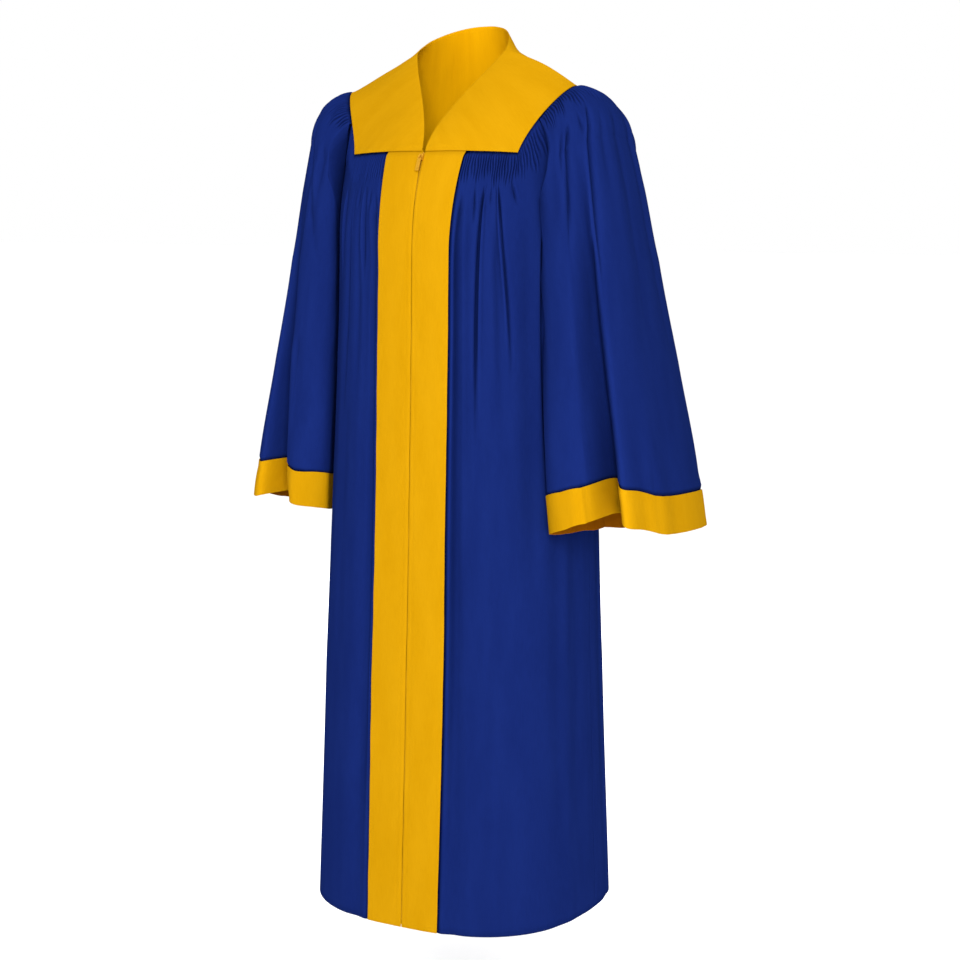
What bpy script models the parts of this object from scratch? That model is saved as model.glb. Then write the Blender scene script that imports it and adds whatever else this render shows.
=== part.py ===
"""Choir robe, hollow and filled out as if worn: blue gathered cloth under a gold yoke,
with gold front bands, gold cuffs and a closed front zip.

Metres, +Z up. The robe faces -Y and the wearer's left is +X. The origin is on the shoulder
line at the base of the neck. Every cloth piece is an open surface with a Solidify wall.
"""

import math

import bpy
import numpy as np

# ---------------------------------------------------------------- driving sizes
CLOTH = 0.0016            # wall of every cloth piece
SEAM_GAP = 0.0003         # clearance between two pieces at a flat seam
YOKE_GAP = 0.0012         # at the yoke, where the walls meet at an angle, so that their inner
                          # edges are still SEAM_GAP apart
SEAM_STRIP = 0.0045       # first column of a panel beside a seam, as a share of the half hem
HEM_Z = -1.340            # hem, below the shoulder line
FRONT_Z = -0.143          # lower edge of the yoke
BAND_WIDTH = 0.0625       # one front band from the waist down
BAND_CHEST = 0.065        # share by which it is wider on the chest
BAND_CHEST_Z = (-0.500, -0.200)   # it widens from the first height up to the second
BAND_TOP_WIDTH = 0.067    # one front band at the yoke
CUFF_DEPTH = 0.060        # gold band at the wrist
CUFF_GAP = 0.0008         # down the sleeve, so that it is SEAM_GAP where the seam runs steeply

# Neckline, from the V at the front centre round the side to the back centre (Bezier points)
NECK_FRONT = ((0.0030, -0.1150, -0.1380), (0.0080, -0.0850, -0.0850),
              (0.0600, -0.0350, -0.0150), (0.0770, 0.0020, 0.0110))
NECK_BACK = ((0.0770, 0.0020, 0.0110), (0.0850, 0.0230, 0.0285),
             (0.0520, 0.0900, 0.0540), (0.0000, 0.0900, 0.0550))

# Outer edge of the yoke on the +X side: straight lower runs, and slanted runs over the shoulder
# as Bezier points, level at the tip on the shoulder line
YOKE_CENTRE = (0.0012, -0.1175, FRONT_Z)
YOKE_CORNER = (0.1420, -0.0840, -0.1460)
YOKE_BACK_CORNER = (0.1420, 0.1050, -0.1480)
YOKE_BACK_CENTRE = (0.0000, 0.1300, -0.1500)
YOKE_TIP = (0.1950, 0.0070, -0.0450)
YOKE_SLANT = (YOKE_CORNER, (0.1500, -0.0660, -0.1050), (0.1950, -0.0280, -0.0450), YOKE_TIP)
YOKE_BACK_SLANT = (YOKE_TIP, (0.1950, 0.0440, -0.0450), (0.1480, 0.0920, -0.1050), YOKE_BACK_CORNER)
YOKE_BOW = (0.0, -0.0075, 0.0015)      # of the straight lower runs, at their middle
YOKE_BACK_BOW = (0.0, 0.0080, 0.0)

# Share of the yoke's slanted edge, from its corner, that belongs to the body and not the sleeve
BODY_SHARE = 0.38

# Armhole seam on the body, as place along the half hem and height: the upright part below the
# yoke, then the underarm curve to the side. Behind it is the same, mirrored about the side.
ARM_UPRIGHT = (
    (0.330, -0.0955),
    (0.350, -0.122),
    (0.370, -0.150),
    (0.384, -0.185),
    (0.390, -0.225),
    (0.397, -0.268),
)
UNDERARM = (
    (0.397, -0.268),
    (0.406, -0.292),
    (0.426, -0.314),
    (0.454, -0.331),
    (0.488, -0.342),
    (0.525, -0.345),
)
UPRIGHT_SHARE = 0.30      # of half the armhole seam
ARM_SLIP = 0.0015         # the body's cloth ends this much before the yoke's end of the armhole
ARMHOLE_LIFT = 0.0008     # the sleeve's edge stands this far off the body's face

# Horizontal sections of the body: height, half width, front, back, corner fullness
BODY_SECTIONS = (
    # z       half_width  front    back    fullness
    (-0.080,  0.198,     -0.150,   0.160,  2.4),
    (-0.300,  0.200,     -0.156,   0.162,  2.4),
    (-0.450,  0.203,     -0.160,   0.164,  2.5),
    (-0.720,  0.215,     -0.170,   0.168,  2.5),
    (-0.950,  0.221,     -0.181,   0.178,  2.6),
    (-1.340,  0.233,     -0.201,   0.194,  2.6),
)
BODY_MIDDLE_Y = 0.030     # where the body is widest

# Marks along the hem of one half of the body, from front centre 0 to back centre 1
MARK_CORNER = 0.262
MARK_SLEEVE_FRONT = 0.330
MARK_SIDE = 0.525
BACK_SCALE = MARK_SIDE / (1 - MARK_SIDE)
MARK_SLEEVE_BACK = MARK_SIDE + (MARK_SIDE - MARK_SLEEVE_FRONT) / BACK_SCALE
MARK_BACK_CORNER = MARK_SIDE + (MARK_SIDE - MARK_CORNER) / BACK_SCALE

BODY_PUFF = 0.150         # height over which the body swells out of its top seam
PUFF_POWER = 0.80         # below 1 the cloth leaves the seam more level
SLANT_POWER = 1.00        # the same under the slanted edges of the yoke
CORNER_SPAN = 0.030       # places over which the two powers blend at the yoke's corners
BAND_FLAT = 0.020         # places beside the band over which the folds fade out
FOLD_EASE_IN = 0.12       # height over which a fold starts
FOLD_EASE_OUT = 0.25      # and over which it ends
HEM_STEPS = 721           # points on the hem's section when its length is measured

# Body folds: place along the half hem, depth, half width there, top, bottom, drift at the hem
FRONT_FOLDS = (
    # place  depth  width  top     bottom  drift
    (0.118,  0.010, 0.022, -0.190, -1.340, 0.004),
    (0.172,  0.007, 0.014, -0.175, -0.900, -0.006),
    (0.205,  0.006, 0.013, -0.170, -0.760, 0.010),
    (0.250,  0.007, 0.016, -0.200, -1.200, 0.012),
    (0.305,  0.009, 0.018, -0.190, -1.340, 0.000),
    (0.375,  0.008, 0.022, -0.300, -1.340, 0.006),
    (0.450,  0.006, 0.025, -0.380, -1.340, 0.000),
)
BACK_FOLDS = (
    (0.600,  0.006, 0.025, -0.380, -1.340, 0.000),
    (0.680,  0.008, 0.022, -0.320, -1.340, -0.006),
    (0.745,  0.009, 0.020, -0.200, -1.300, 0.004),
    (0.800,  0.007, 0.016, -0.180, -1.100, -0.006),
    (0.850,  0.008, 0.020, -0.190, -1.340, 0.003),
    (0.905,  0.006, 0.015, -0.180, -0.950, 0.006),
    (0.960,  0.009, 0.020, -0.190, -1.340, -0.004),
)

# Horizontal sections of a sleeve: height, middle x and y, half width x, front and back half y
SLEEVE_SECTIONS = (
    # z       middle_x  middle_y  half_x  front_y  back_y
    (-0.045,  0.168,    0.018,    0.056,  0.085,   0.085),
    (-0.100,  0.180,    0.032,    0.075,  0.112,   0.105),
    (-0.200,  0.201,    0.042,    0.076,  0.132,   0.125),
    (-0.310,  0.216,    0.046,    0.082,  0.144,   0.142),
    (-0.470,  0.238,    0.048,    0.091,  0.156,   0.168),
    (-0.650,  0.264,    0.050,    0.100,  0.170,   0.188),
    (-0.730,  0.276,    0.052,    0.102,  0.174,   0.195),
)
SLEEVE_FULLNESS = 2.3      # outer half of the section
SLEEVE_INNER_FULLNESS = 2.8
SLEEVE_INNER_BACK = 0.70   # the inner half is narrower behind, beside the body's back
SLEEVE_CLEARANCE = 0.0045  # from the body below the underarm
SLEEVE_REACH = 0.985       # share of the body's depth up to which the sleeve is kept clear of it
SLEEVE_ROUND = 0.006       # how softly the sleeve turns off the body
SLEEVE_EASE = 0.0005       # of that turn, taken back
SLEEVE_HEAD_DROP = 0.075   # height over which the head rounds over the shoulder
ARM_DROP = 0.020           # the same below the armhole seam
HEAD_SHARE = 0.16          # share of a sleeve column's parameter that rounds the head
ARM_BLEND = 0.10           # columns over which the bearings blend at the ends of the armhole
HEAD_BLEND = 0.12          # columns over which the head's drop blends there
WRIST_STEPS = 1441         # points on the wrist's section when its length is measured
SEAM_STEPS = 24            # columns of each half of the armhole whose bearing is looked up
BEARING_STEPS = 301        # bearings tried for each
SEAM_BEARINGS = (30.0, 180.0)   # range of those bearings, behind; in front it is negative
JUST_BESIDE = 1e-6         # of a mark, so that a column counts as on the armhole
BEARING_FALL = 0.55        # share of the parameter over which a column takes its own bearing

# Wrist edge of a sleeve: bearing in degrees (0 outward, -90 front) and height
WRIST_EDGE = (
    (-180.0, -0.7365),
    (-150.0, -0.7270),
    (-122.0, -0.7110),
    (-100.0, -0.7050),
    (-76.0,  -0.6960),
    (-55.0,  -0.7040),
    (-25.0,  -0.7165),
    (15.0,   -0.7285),
    (60.0,   -0.7390),
    (100.0,  -0.7450),
    (140.0,  -0.7460),
    (180.0,  -0.7365),
)
WRIST_Z = -0.715          # where the sleeve's folds have their full depth

# Sleeve folds: bearing at the wrist in degrees (0 outward, -90 front) and at the fold's top,
# depth at the cuff, half width in degrees, direction that the fold runs in (degrees, 90
# straight back), height where it starts and how fast it deepens
SLEEVE_FOLDS = (
    # bearing  at_top  depth  width  toward  top     growth
    (-75.0,    -60.0,  0.085, 9.0,   97.0,   -0.120, 1.0),
    (-18.0,    -18.0,  0.012, 14.0,  180.0,  -0.300, 1.0),
    (22.0,     18.0,   0.020, 11.0,  195.0,  -0.160, 0.8),
    (58.0,     48.0,   0.045, 9.0,   255.0,  -0.140, 1.0),
    (84.0,     80.0,   0.012, 8.0,   270.0,  -0.300, 1.0),
)

# Gathers under the yoke: number of waves, and how far a wave stands out and in
WAVES_SLEEVE = 50
WAVES_FRONT = 22
WAVES_BACK = 56
WAVES_SLANT = 3           # of these, under each slanted edge of the yoke
WAVE_HEIGHT = 0.0008

# Zip, in the slider's own frame: width along X, length down the band, height off the band
TAPE_HALF_WIDTH = 0.0125
TAPE_THICK = 0.0010
TAPE_GAP = 0.0005         # behind the bands' inner faces
TAPE_END = 0.97           # share of the fall to the hem
SLIDER_Z = -0.1530
SLIDER_GAP = 0.0004       # in front of the bands
SLIDER_WIDTH = 0.0074
SLIDER_LENGTH = 0.0105
SLIDER_HEIGHT = 0.0024
BRIDGE_WIDTH = 0.0024
BRIDGE_HOLE = 0.0012      # radii of the ring that holds the tab
BRIDGE_OUTER = 0.0020
BRIDGE_SIDES = 16
AXIS_HEIGHT = 0.0026      # hinge axis above the slider's front face
NECK_HALF = 0.0009        # foot of the ring, half its length
TAB_LENGTH = 0.0240       # from the hinge axis
TAB_WIDTH = 0.0062
TAB_THICK = 0.0012
BAR_HALF = 0.0005         # bar of the tab in the ring, half its depth
EYE_WIDTH = 0.0032
EYE_LENGTH = 0.0036
TAB_ROUND = 0.0002        # edge rounding of tab and slider

BLUE = (0.012, 0.022, 0.160, 1.0)
GOLD = (0.830, 0.400, 0.010, 1.0)
BRASS = (0.720, 0.420, 0.080, 1.0)
BRASS_ROUGH = 0.35
CLOTH_ROUGH = 0.80

COLLECTION_NAME = "choir_robe"


# ---------------------------------------------------------------- curves
def bezier(points, t):
    """Cubic Bezier through four control points at the parameters t."""
    p = np.array(points, float)
    t = np.asarray(t, float)[..., None]
    return ((1 - t) ** 3 * p[0] + 3 * (1 - t) ** 2 * t * p[1]
            + 3 * (1 - t) * t ** 2 * p[2] + t ** 3 * p[3])


def smooth_through(points, t):
    """Catmull-Rom curve through the points, t from 0 at the first to 1 at the last."""
    p = np.array(points, float)
    p = np.vstack([2 * p[0] - p[1], p, 2 * p[-1] - p[-2]])
    spans = len(p) - 3
    x = np.clip(np.asarray(t, float), 0, 1) * spans
    i = np.minimum(x.astype(int), spans - 1)
    f = (x - i)[..., None]
    a, b, c, d = p[i], p[i + 1], p[i + 2], p[i + 3]
    return 0.5 * (2 * b + (c - a) * f + (2 * a - 5 * b + 4 * c - d) * f ** 2
                  + (3 * b - 3 * c + d - a) * f ** 3)


def ease(x):
    """Smooth step from 0 to 1."""
    x = np.clip(x, 0, 1)
    return x * x * (3 - 2 * x)


def column(table, z, index):
    """One column of a section table, read smoothly at the heights z."""
    rows = np.array(table, float)[::-1]
    heights = rows[:, 0]
    knots = np.arange(len(rows)) / (len(rows) - 1)
    place = np.interp(z, heights, knots)
    curve = smooth_through(rows[:, [index]], place)[..., 0]
    return curve


# ---------------------------------------------------------------- yoke
def neckline(q):
    """Neck edge from the front V, q = 0, over the shoulder line, q = 0.5, to the back, q = 1."""
    q = np.asarray(q, float)
    front = bezier(NECK_FRONT, np.clip(2 * q, 0, 1))
    back = bezier(NECK_BACK, np.clip(2 * q - 1, 0, 1))
    return np.where((q < 0.5)[..., None], front, back)


def bowed(start, end, t, bow):
    """Straight seam from start to end, bowed by the vector bow at its middle."""
    t = np.asarray(t, float)[..., None]
    start, end, bow = (np.array(v, float) for v in (start, end, bow))
    return start + (end - start) * t + bow * 4 * t * (1 - t)


# Marks of the yoke's edge, as q: its corner, its tip on the shoulder line, its back corner
Q_CORNER = 0.30
Q_TIP = 0.50
Q_BACK_CORNER = 0.70


def yoke_edge(q):
    """Outer edge of the yoke from the front centre to the back centre."""
    q = np.asarray(q, float)
    low = bowed(YOKE_CENTRE, YOKE_CORNER, q / Q_CORNER, YOKE_BOW)
    slant = bezier(YOKE_SLANT, (q - Q_CORNER) / (Q_TIP - Q_CORNER))
    back_slant = bezier(YOKE_BACK_SLANT, (q - Q_TIP) / (Q_BACK_CORNER - Q_TIP))
    back = bowed(YOKE_BACK_CORNER, YOKE_BACK_CENTRE, (q - Q_BACK_CORNER) / (1 - Q_BACK_CORNER),
                 YOKE_BACK_BOW)
    run = np.digitize(q, (Q_CORNER, Q_TIP, Q_BACK_CORNER))[..., None]
    return np.choose(run, (low, slant, back_slant, back))


# How far the yoke's cloth stands out of the straight line from neck to edge
YOKE_BULGE_Y = 0.008      # away from the wearer, in front and behind
YOKE_BULGE_Z = 0.004      # upwards, everywhere
YOKE_BULGE_SIDE = 0.004   # upwards too, on the shoulder
SHOULDER_SPAN = 0.14      # how wide the shoulder is, as q
CENTRE_SPAN = 0.20        # the bulge grows from the front centre over this, as q


def yoke_point(q, r):
    """Yoke from the neckline, r = 0, to its outer edge, r = 1, rounded like a shoulder."""
    inner = neckline(q)
    outer = yoke_edge(q)
    r = np.asarray(r, float)
    flat = inner + (outer - inner) * r[..., None]
    side = np.exp(-((q - Q_TIP) / SHOULDER_SPAN) ** 2)
    out_y = np.where(q < Q_TIP, -1.0, 1.0) * (1 - side)
    bulge = 4 * r * (1 - r) * np.clip(q / CENTRE_SPAN, 0, 1)
    flat[..., 1] += bulge * YOKE_BULGE_Y * out_y
    flat[..., 2] += bulge * (YOKE_BULGE_Z + YOKE_BULGE_SIDE * side)
    return flat


# ---------------------------------------------------------------- body
def body_section(s, z):
    """Point of the body's horizontal section at height z, s along the half hem."""
    half = column(BODY_SECTIONS, z, 1)
    front = column(BODY_SECTIONS, z, 2)
    back = column(BODY_SECTIONS, z, 3)
    full = column(BODY_SECTIONS, z, 4)
    widen = HEM_REACH / (half + (back - front) / 2) - 1
    near_band = 1 - ease((s - MARK_BAND) / (MARK_CORNER - MARK_BAND))
    chest = BAND_CHEST * ease((z - BAND_CHEST_Z[0]) / (BAND_CHEST_Z[1] - BAND_CHEST_Z[0]))
    angle = hem_angle(s * (1 + (widen + chest) * near_band))
    c, sn = np.cos(angle), np.sin(angle)
    x = half * np.abs(c) ** (2 / full)
    reach = np.where(sn < 0, BODY_MIDDLE_Y - front, back - BODY_MIDDLE_Y)
    y = BODY_MIDDLE_Y + np.sign(sn) * reach * np.abs(sn) ** (2 / full)
    return np.stack([x, y], -1)


def _hem_table():
    """Angle of the hem's section against the share of its length, measured on the curve."""
    last = BODY_SECTIONS[-1]
    angle = np.linspace(-math.pi / 2, math.pi / 2, HEM_STEPS)
    full = last[4]
    reach = np.where(angle < 0, BODY_MIDDLE_Y - last[2], last[3] - BODY_MIDDLE_Y)
    x = last[1] * np.abs(np.cos(angle)) ** (2 / full)
    y = np.sign(np.sin(angle)) * reach * np.abs(np.sin(angle)) ** (2 / full)
    length = np.concatenate([[0], np.cumsum(np.hypot(np.diff(x), np.diff(y)))])
    return length / length[-1], angle, length[-1]


HEM_SHARE, HEM_ANGLE, HALF_HEM = _hem_table()
HEM_REACH = BODY_SECTIONS[-1][1] + (BODY_SECTIONS[-1][3] - BODY_SECTIONS[-1][2]) / 2
MARK_BAND = BAND_WIDTH / HALF_HEM


def hem_angle(s):
    """Angle round the section for the share s of the half hem."""
    return np.interp(s, HEM_SHARE, HEM_ANGLE)


Q_SEAM_FRONT = Q_CORNER + BODY_SHARE * (Q_TIP - Q_CORNER)
Q_SEAM_BACK = Q_BACK_CORNER - BODY_SHARE * (Q_BACK_CORNER - Q_TIP)


def seam_share(q):
    """Share of the fall to the hem at which the upright part of the armhole ends."""
    top = yoke_edge(np.array(q))[2]
    return (top - ARM_UPRIGHT[-1][1]) / (top - HEM_Z)


ARM_FRONT = seam_share(Q_SEAM_FRONT)
ARM_BACK = seam_share(Q_SEAM_BACK)


def mirrored(c):
    """Place in front that answers to a place behind the side, or the place itself."""
    return np.where(c > MARK_SIDE, MARK_SIDE - (c - MARK_SIDE) * BACK_SCALE, c)


def body_place(c, z):
    """Place along the half hem of the body's column c at the height z: the columns beside the
    armhole follow its upright seam."""
    behind = c > MARK_SIDE
    c = mirrored(c)
    heights = [-row[1] for row in ARM_UPRIGHT]
    drift = np.interp(-z, heights, [row[0] for row in ARM_UPRIGHT]) - MARK_SLEEVE_FRONT
    before = np.clip((c - MARK_CORNER) / (MARK_SLEEVE_FRONT - MARK_CORNER), 0, 1)
    after = (MARK_SIDE - c) / (MARK_SIDE - MARK_SLEEVE_FRONT)
    place = c + drift * np.where(c <= MARK_SLEEVE_FRONT, before, after)
    return np.where(behind, MARK_SIDE + (MARK_SIDE - place) / BACK_SCALE, place)


def body_top(c):
    """Top of the body's columns: yoke's edge, underarm, yoke's edge."""
    c = np.asarray(c, float)
    band_q = Q_CORNER * BAND_TOP_WIDTH / YOKE_CORNER[0]
    q = np.interp(c, [0, MARK_BAND, MARK_CORNER, MARK_SLEEVE_FRONT,
                      MARK_SLEEVE_BACK, MARK_BACK_CORNER, 1],
                  [0, band_q, Q_CORNER, Q_SEAM_FRONT, Q_SEAM_BACK, Q_BACK_CORNER, 1])
    place = body_place(c, 0 * c + HEM_Z)
    z = np.interp(mirrored(place), [row[0] for row in UNDERARM], [row[1] for row in UNDERARM])
    under = np.concatenate([body_section(place, z), z[..., None]], -1)
    arm = (c > MARK_SLEEVE_FRONT + 1e-9) & (c < MARK_SLEEVE_BACK - 1e-9)
    return np.where(arm[..., None], under, yoke_edge(q))


def arm_start(c):
    """Parameter t at which the body's column c starts: 0 under the yoke, later underarm."""
    start = np.where(c < MARK_SIDE, ARM_FRONT, ARM_BACK)
    return np.where((c > MARK_SLEEVE_FRONT + 1e-9) & (c < MARK_SLEEVE_BACK - 1e-9), start, 0.0)


def arm_seam(r):
    """Armhole seam on the body, r = 0 at the yoke in front, 0.5 at the side, 1 behind."""
    r = np.asarray(r, float)
    behind = r > 0.5
    near = np.where(behind, 1 - r, r) * 2
    t = np.where(behind, ARM_BACK, ARM_FRONT) * np.clip(near / UPRIGHT_SHARE, 0, 1)
    upright = body_point(np.where(behind, MARK_SLEEVE_BACK, MARK_SLEEVE_FRONT), t)
    along = np.clip((near - UPRIGHT_SHARE) / (1 - UPRIGHT_SHARE), 1e-6, 1)
    c = MARK_SLEEVE_FRONT + along * (MARK_SIDE - MARK_SLEEVE_FRONT)
    under = body_top(np.where(behind, MARK_SIDE + (MARK_SIDE - c) / BACK_SCALE, c))
    return np.where((near > UPRIGHT_SHARE)[..., None], under, upright)


def fold_depth(folds, s, z):
    """How far the folds press the body in at the place s and the height z."""
    press = np.zeros(np.broadcast(s, z).shape)
    for place, depth, width, top, bottom, drift in folds:
        fall = (top - z) / (top - HEM_Z)
        middle = place + drift * fall
        fade = ease((top - z) / FOLD_EASE_IN) * ease((z - bottom) / FOLD_EASE_OUT + (bottom <= HEM_Z))
        press = press + depth * fade * np.exp(-((s - middle) / width) ** 2)
    return press


def body_point(c, t):
    """Body's column c from its top, t = 0, to the hem, t = 1, without gathers."""
    top = body_top(c)
    begin = arm_start(c)
    z = top[..., 2] + (HEM_Z - top[..., 2]) * np.clip((t - begin) / (1 - begin), 0, 1)
    s = body_place(c, z)
    here = body_section(s, z)
    start = body_section(body_place(c, top[..., 2]), top[..., 2])
    start = np.where((begin > 0)[..., None], top[..., :2], start)
    slant = (ease((c - MARK_CORNER) / CORNER_SPAN + 1) * ease((MARK_BACK_CORNER - c) / CORNER_SPAN + 1))
    power = PUFF_POWER + (SLANT_POWER - PUFF_POWER) * slant
    left = 1 - np.sin(np.clip((top[..., 2] - z) / BODY_PUFF, 0, 1) * math.pi / 2) ** power
    plan = here + (top[..., :2] - start) * left[..., None]
    press = fold_depth(FRONT_FOLDS + BACK_FOLDS, s, z) * np.clip(1 - left, 0, 1)
    middle = np.stack([0 * z, 0 * z + BODY_MIDDLE_Y], -1)
    inward = middle - plan
    inward = inward / np.linalg.norm(inward, axis=-1, keepdims=True)
    off_band = ease((s - MARK_BAND) / BAND_FLAT)
    plan = plan + inward * (press * off_band)[..., None]
    return np.concatenate([plan, z[..., None]], -1)


# ---------------------------------------------------------------- sleeve
def sleeve_section(bearing, z, folds):
    """Point of a sleeve's horizontal section; bearing in degrees, 0 outward, -90 to the front."""
    mid_x = column(SLEEVE_SECTIONS, z, 1)
    mid_y = column(SLEEVE_SECTIONS, z, 2)
    half_x = column(SLEEVE_SECTIONS, z, 3)
    front = column(SLEEVE_SECTIONS, z, 4)
    back = column(SLEEVE_SECTIONS, z, 5)
    angle = np.radians(bearing)
    c, sn = np.cos(angle), np.sin(angle)
    inner_back = (c < 0) & (sn > 0)
    half_x = half_x * np.where(inner_back, SLEEVE_INNER_BACK, 1.0)
    power = 2 / np.where(c < 0, SLEEVE_INNER_FULLNESS, SLEEVE_FULLNESS)
    x = mid_x + half_x * np.sign(c) * np.abs(c) ** power
    y = mid_y + np.where(sn < 0, front, back) * np.sign(sn) * np.abs(sn) ** power
    for at, at_top, depth, width, toward, top, growth in folds:
        fall = np.clip((top - z) / (top - WRIST_Z), 0, 1.2)
        turn = (bearing - at_top - (at - at_top) * fall + 180) % 360 - 180
        shape = np.exp(-(np.abs(turn) / width) ** 2)
        deepen = fall ** growth
        x = x + depth * deepen * shape * math.cos(math.radians(toward))
        y = y + depth * deepen * shape * math.sin(math.radians(toward))
    return clear_of_body(x, y, z)


def clear_of_body(x, y, z):
    """Push plan points out to just clear of the body's section, sideways."""
    half = column(BODY_SECTIONS, z, 1) + SLEEVE_CLEARANCE
    front = column(BODY_SECTIONS, z, 2) - SLEEVE_CLEARANCE
    back = column(BODY_SECTIONS, z, 3) + SLEEVE_CLEARANCE
    full = column(BODY_SECTIONS, z, 4)
    reach = np.where(y < BODY_MIDDLE_Y, BODY_MIDDLE_Y - front, back - BODY_MIDDLE_Y)
    v = np.clip(np.abs(y - BODY_MIDDLE_Y) / reach, 0, SLEEVE_REACH)
    edge = half * (1 - v ** full) ** (1 / full)
    soft = 0.5 * (x + edge + np.hypot(x - edge, SLEEVE_ROUND)) - SLEEVE_EASE
    return np.stack([soft, y], -1)


def sleeve_columns(folds):
    """Share of the cloth round the wrist against bearing, from inner side round the front."""
    bearing = np.linspace(-180, 180, WRIST_STEPS)
    z = np.full_like(bearing, WRIST_Z)
    plan = sleeve_section(bearing, z, folds)
    step = np.hypot(*np.diff(plan, axis=0).T)
    length = np.concatenate([[0], np.cumsum(step)])
    return length / length[-1], bearing


# Marks round a sleeve as shares of its wrist: where its top seam meets the yoke
SLEEVE_FRONT_MARK = 0.235
SLEEVE_TIP_MARK = 0.50
SLEEVE_BACK_MARK = 0.765


def sleeve_top(u):
    """Top seam of the sleeve: underarm, up the armhole in front, yoke, down behind."""
    u = np.asarray(u, float)
    r = np.where(u < 0.5, 0.5 - u / SLEEVE_FRONT_MARK / 2,
                 0.5 + (1 - u) / (1 - SLEEVE_BACK_MARK) / 2)
    q = np.interp(u, [SLEEVE_FRONT_MARK, SLEEVE_TIP_MARK, SLEEVE_BACK_MARK],
                  [Q_SEAM_FRONT, Q_TIP, Q_SEAM_BACK])
    seam = arm_seam(np.clip(r, 0, 1))
    away = seam[..., :2] - [0, BODY_MIDDLE_Y]
    away = away / np.linalg.norm(away, axis=-1, keepdims=True)
    seam[..., :2] += away * ARMHOLE_LIFT
    on_yoke = (u >= SLEEVE_FRONT_MARK) & (u <= SLEEVE_BACK_MARK)
    return np.where(on_yoke[..., None], yoke_edge(q), seam)


def sleeve_bearing(u, folds):
    """Bearing of the sleeve's column u."""
    share, bearing = sleeve_columns(folds)
    return np.interp(u, share, bearing)


def _seam_bearings():
    """Bearing of the section point nearest to the top seam, for the columns on the armhole."""
    u = np.concatenate([np.linspace(0, SLEEVE_FRONT_MARK - JUST_BESIDE, SEAM_STEPS),
                        np.linspace(SLEEVE_BACK_MARK + JUST_BESIDE, 1, SEAM_STEPS)])
    behind = np.linspace(*SEAM_BEARINGS, BEARING_STEPS)
    bearing = np.concatenate([-behind[::-1], behind])
    top = sleeve_top(u)
    plan = sleeve_section(bearing[None, :], (top[:, 2] - ARM_DROP)[:, None] + 0 * bearing, ())
    away = np.linalg.norm(plan - top[:, None, :2], axis=-1)
    same_side = (bearing[None, :] > 0) == (u[:, None] > 0.5)
    return u, bearing[np.argmin(np.where(same_side, away, 1.0), axis=1)]


SEAM_U, SEAM_BEARING = _seam_bearings()


def column_bearing(u, t, folds):
    """Bearing of the column u at t: the seam's own at the armhole, its place on the wrist below."""
    wrist = sleeve_bearing(u, folds)
    seam = np.interp(u, SEAM_U, SEAM_BEARING)
    on_arm = np.maximum(ease((SLEEVE_FRONT_MARK - u) / ARM_BLEND),
                        ease((u - SLEEVE_BACK_MARK) / ARM_BLEND))
    return wrist + (seam - wrist) * on_arm * (1 - ease(t / BEARING_FALL))


def sleeve_bottom(bearing):
    """Height of the wrist edge under the bearing."""
    rows = np.array(WRIST_EDGE)
    place = np.interp(bearing, rows[:, 0], np.arange(len(rows)) / (len(rows) - 1))
    return smooth_through(rows[:, [1]], place)[..., 0]


def head_drop(u):
    """Whether the column starts on the yoke, and how far its head drops."""
    on_head = (ease((u - SLEEVE_FRONT_MARK) / HEAD_BLEND + 0.5)
               * ease((SLEEVE_BACK_MARK - u) / HEAD_BLEND + 0.5))
    return on_head, ARM_DROP + (SLEEVE_HEAD_DROP - ARM_DROP) * on_head


def above_wrist(u, distance, folds):
    """Parameter t of the points that lie the distance above the wrist edge."""
    fall = sleeve_top(u)[..., 2] - head_drop(u)[1] - sleeve_bottom(sleeve_bearing(u, folds))
    return 1 - (1 - HEAD_SHARE) * distance / fall


def sleeve_point(u, t, folds):
    """Sleeve from its top seam, t = 0, to the wrist edge, t = 1. Up to HEAD_SHARE it rounds
    over the shoulder in a quarter ellipse, the rest falls to the wrist."""
    top = sleeve_top(u)
    end = sleeve_bottom(sleeve_bearing(u, folds))
    bearing = column_bearing(u, t, folds)
    on_head, drop = head_drop(u)
    turn = np.clip(t / HEAD_SHARE, 0, 1) * math.pi / 2
    fall = np.clip((t - HEAD_SHARE) / (1 - HEAD_SHARE), 0, 1)
    level = 1 - np.cos(turn)
    shoulder = top[..., 2] - drop * (level + (np.sin(turn) - level) * (1 - on_head))
    z = np.where(t < HEAD_SHARE, shoulder, shoulder + (end - shoulder) * fall)
    here = sleeve_section(bearing, z, folds)
    start = sleeve_section(bearing, top[..., 2] - drop, folds)
    left = 1 - np.sin(turn)
    plan = here + (top[..., :2] - start) * left[..., None]
    plan = np.where((t < HEAD_SHARE)[..., None], start + (top[..., :2] - start) * left[..., None], plan)
    return np.concatenate([plan, z[..., None]], -1)


# ---------------------------------------------------------------- meshes
def link_mesh(name, verts, faces, colour, rough=CLOTH_ROUGH, metal=0.0):
    """Object with its own material from points and faces."""
    mesh = bpy.data.meshes.new(name)
    mesh.from_pydata([tuple(v) for v in verts], [], faces)
    mesh.update()
    return link_object(name, mesh, colour, rough, metal)


def link_object(name, mesh, colour, rough, metal):
    """Link the mesh as an object and give it a material of its own."""
    mesh.shade_smooth()
    thing = bpy.data.objects.new(name, mesh)
    bpy.data.collections[COLLECTION_NAME].objects.link(thing)
    finish = bpy.data.materials.new(name + "_finish")
    finish.use_nodes = True
    shader = finish.node_tree.nodes["Principled BSDF"]
    shader.inputs["Base Color"].default_value = colour
    shader.inputs["Roughness"].default_value = rough
    shader.inputs["Metallic"].default_value = metal
    mesh.materials.append(finish)
    return thing


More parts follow.
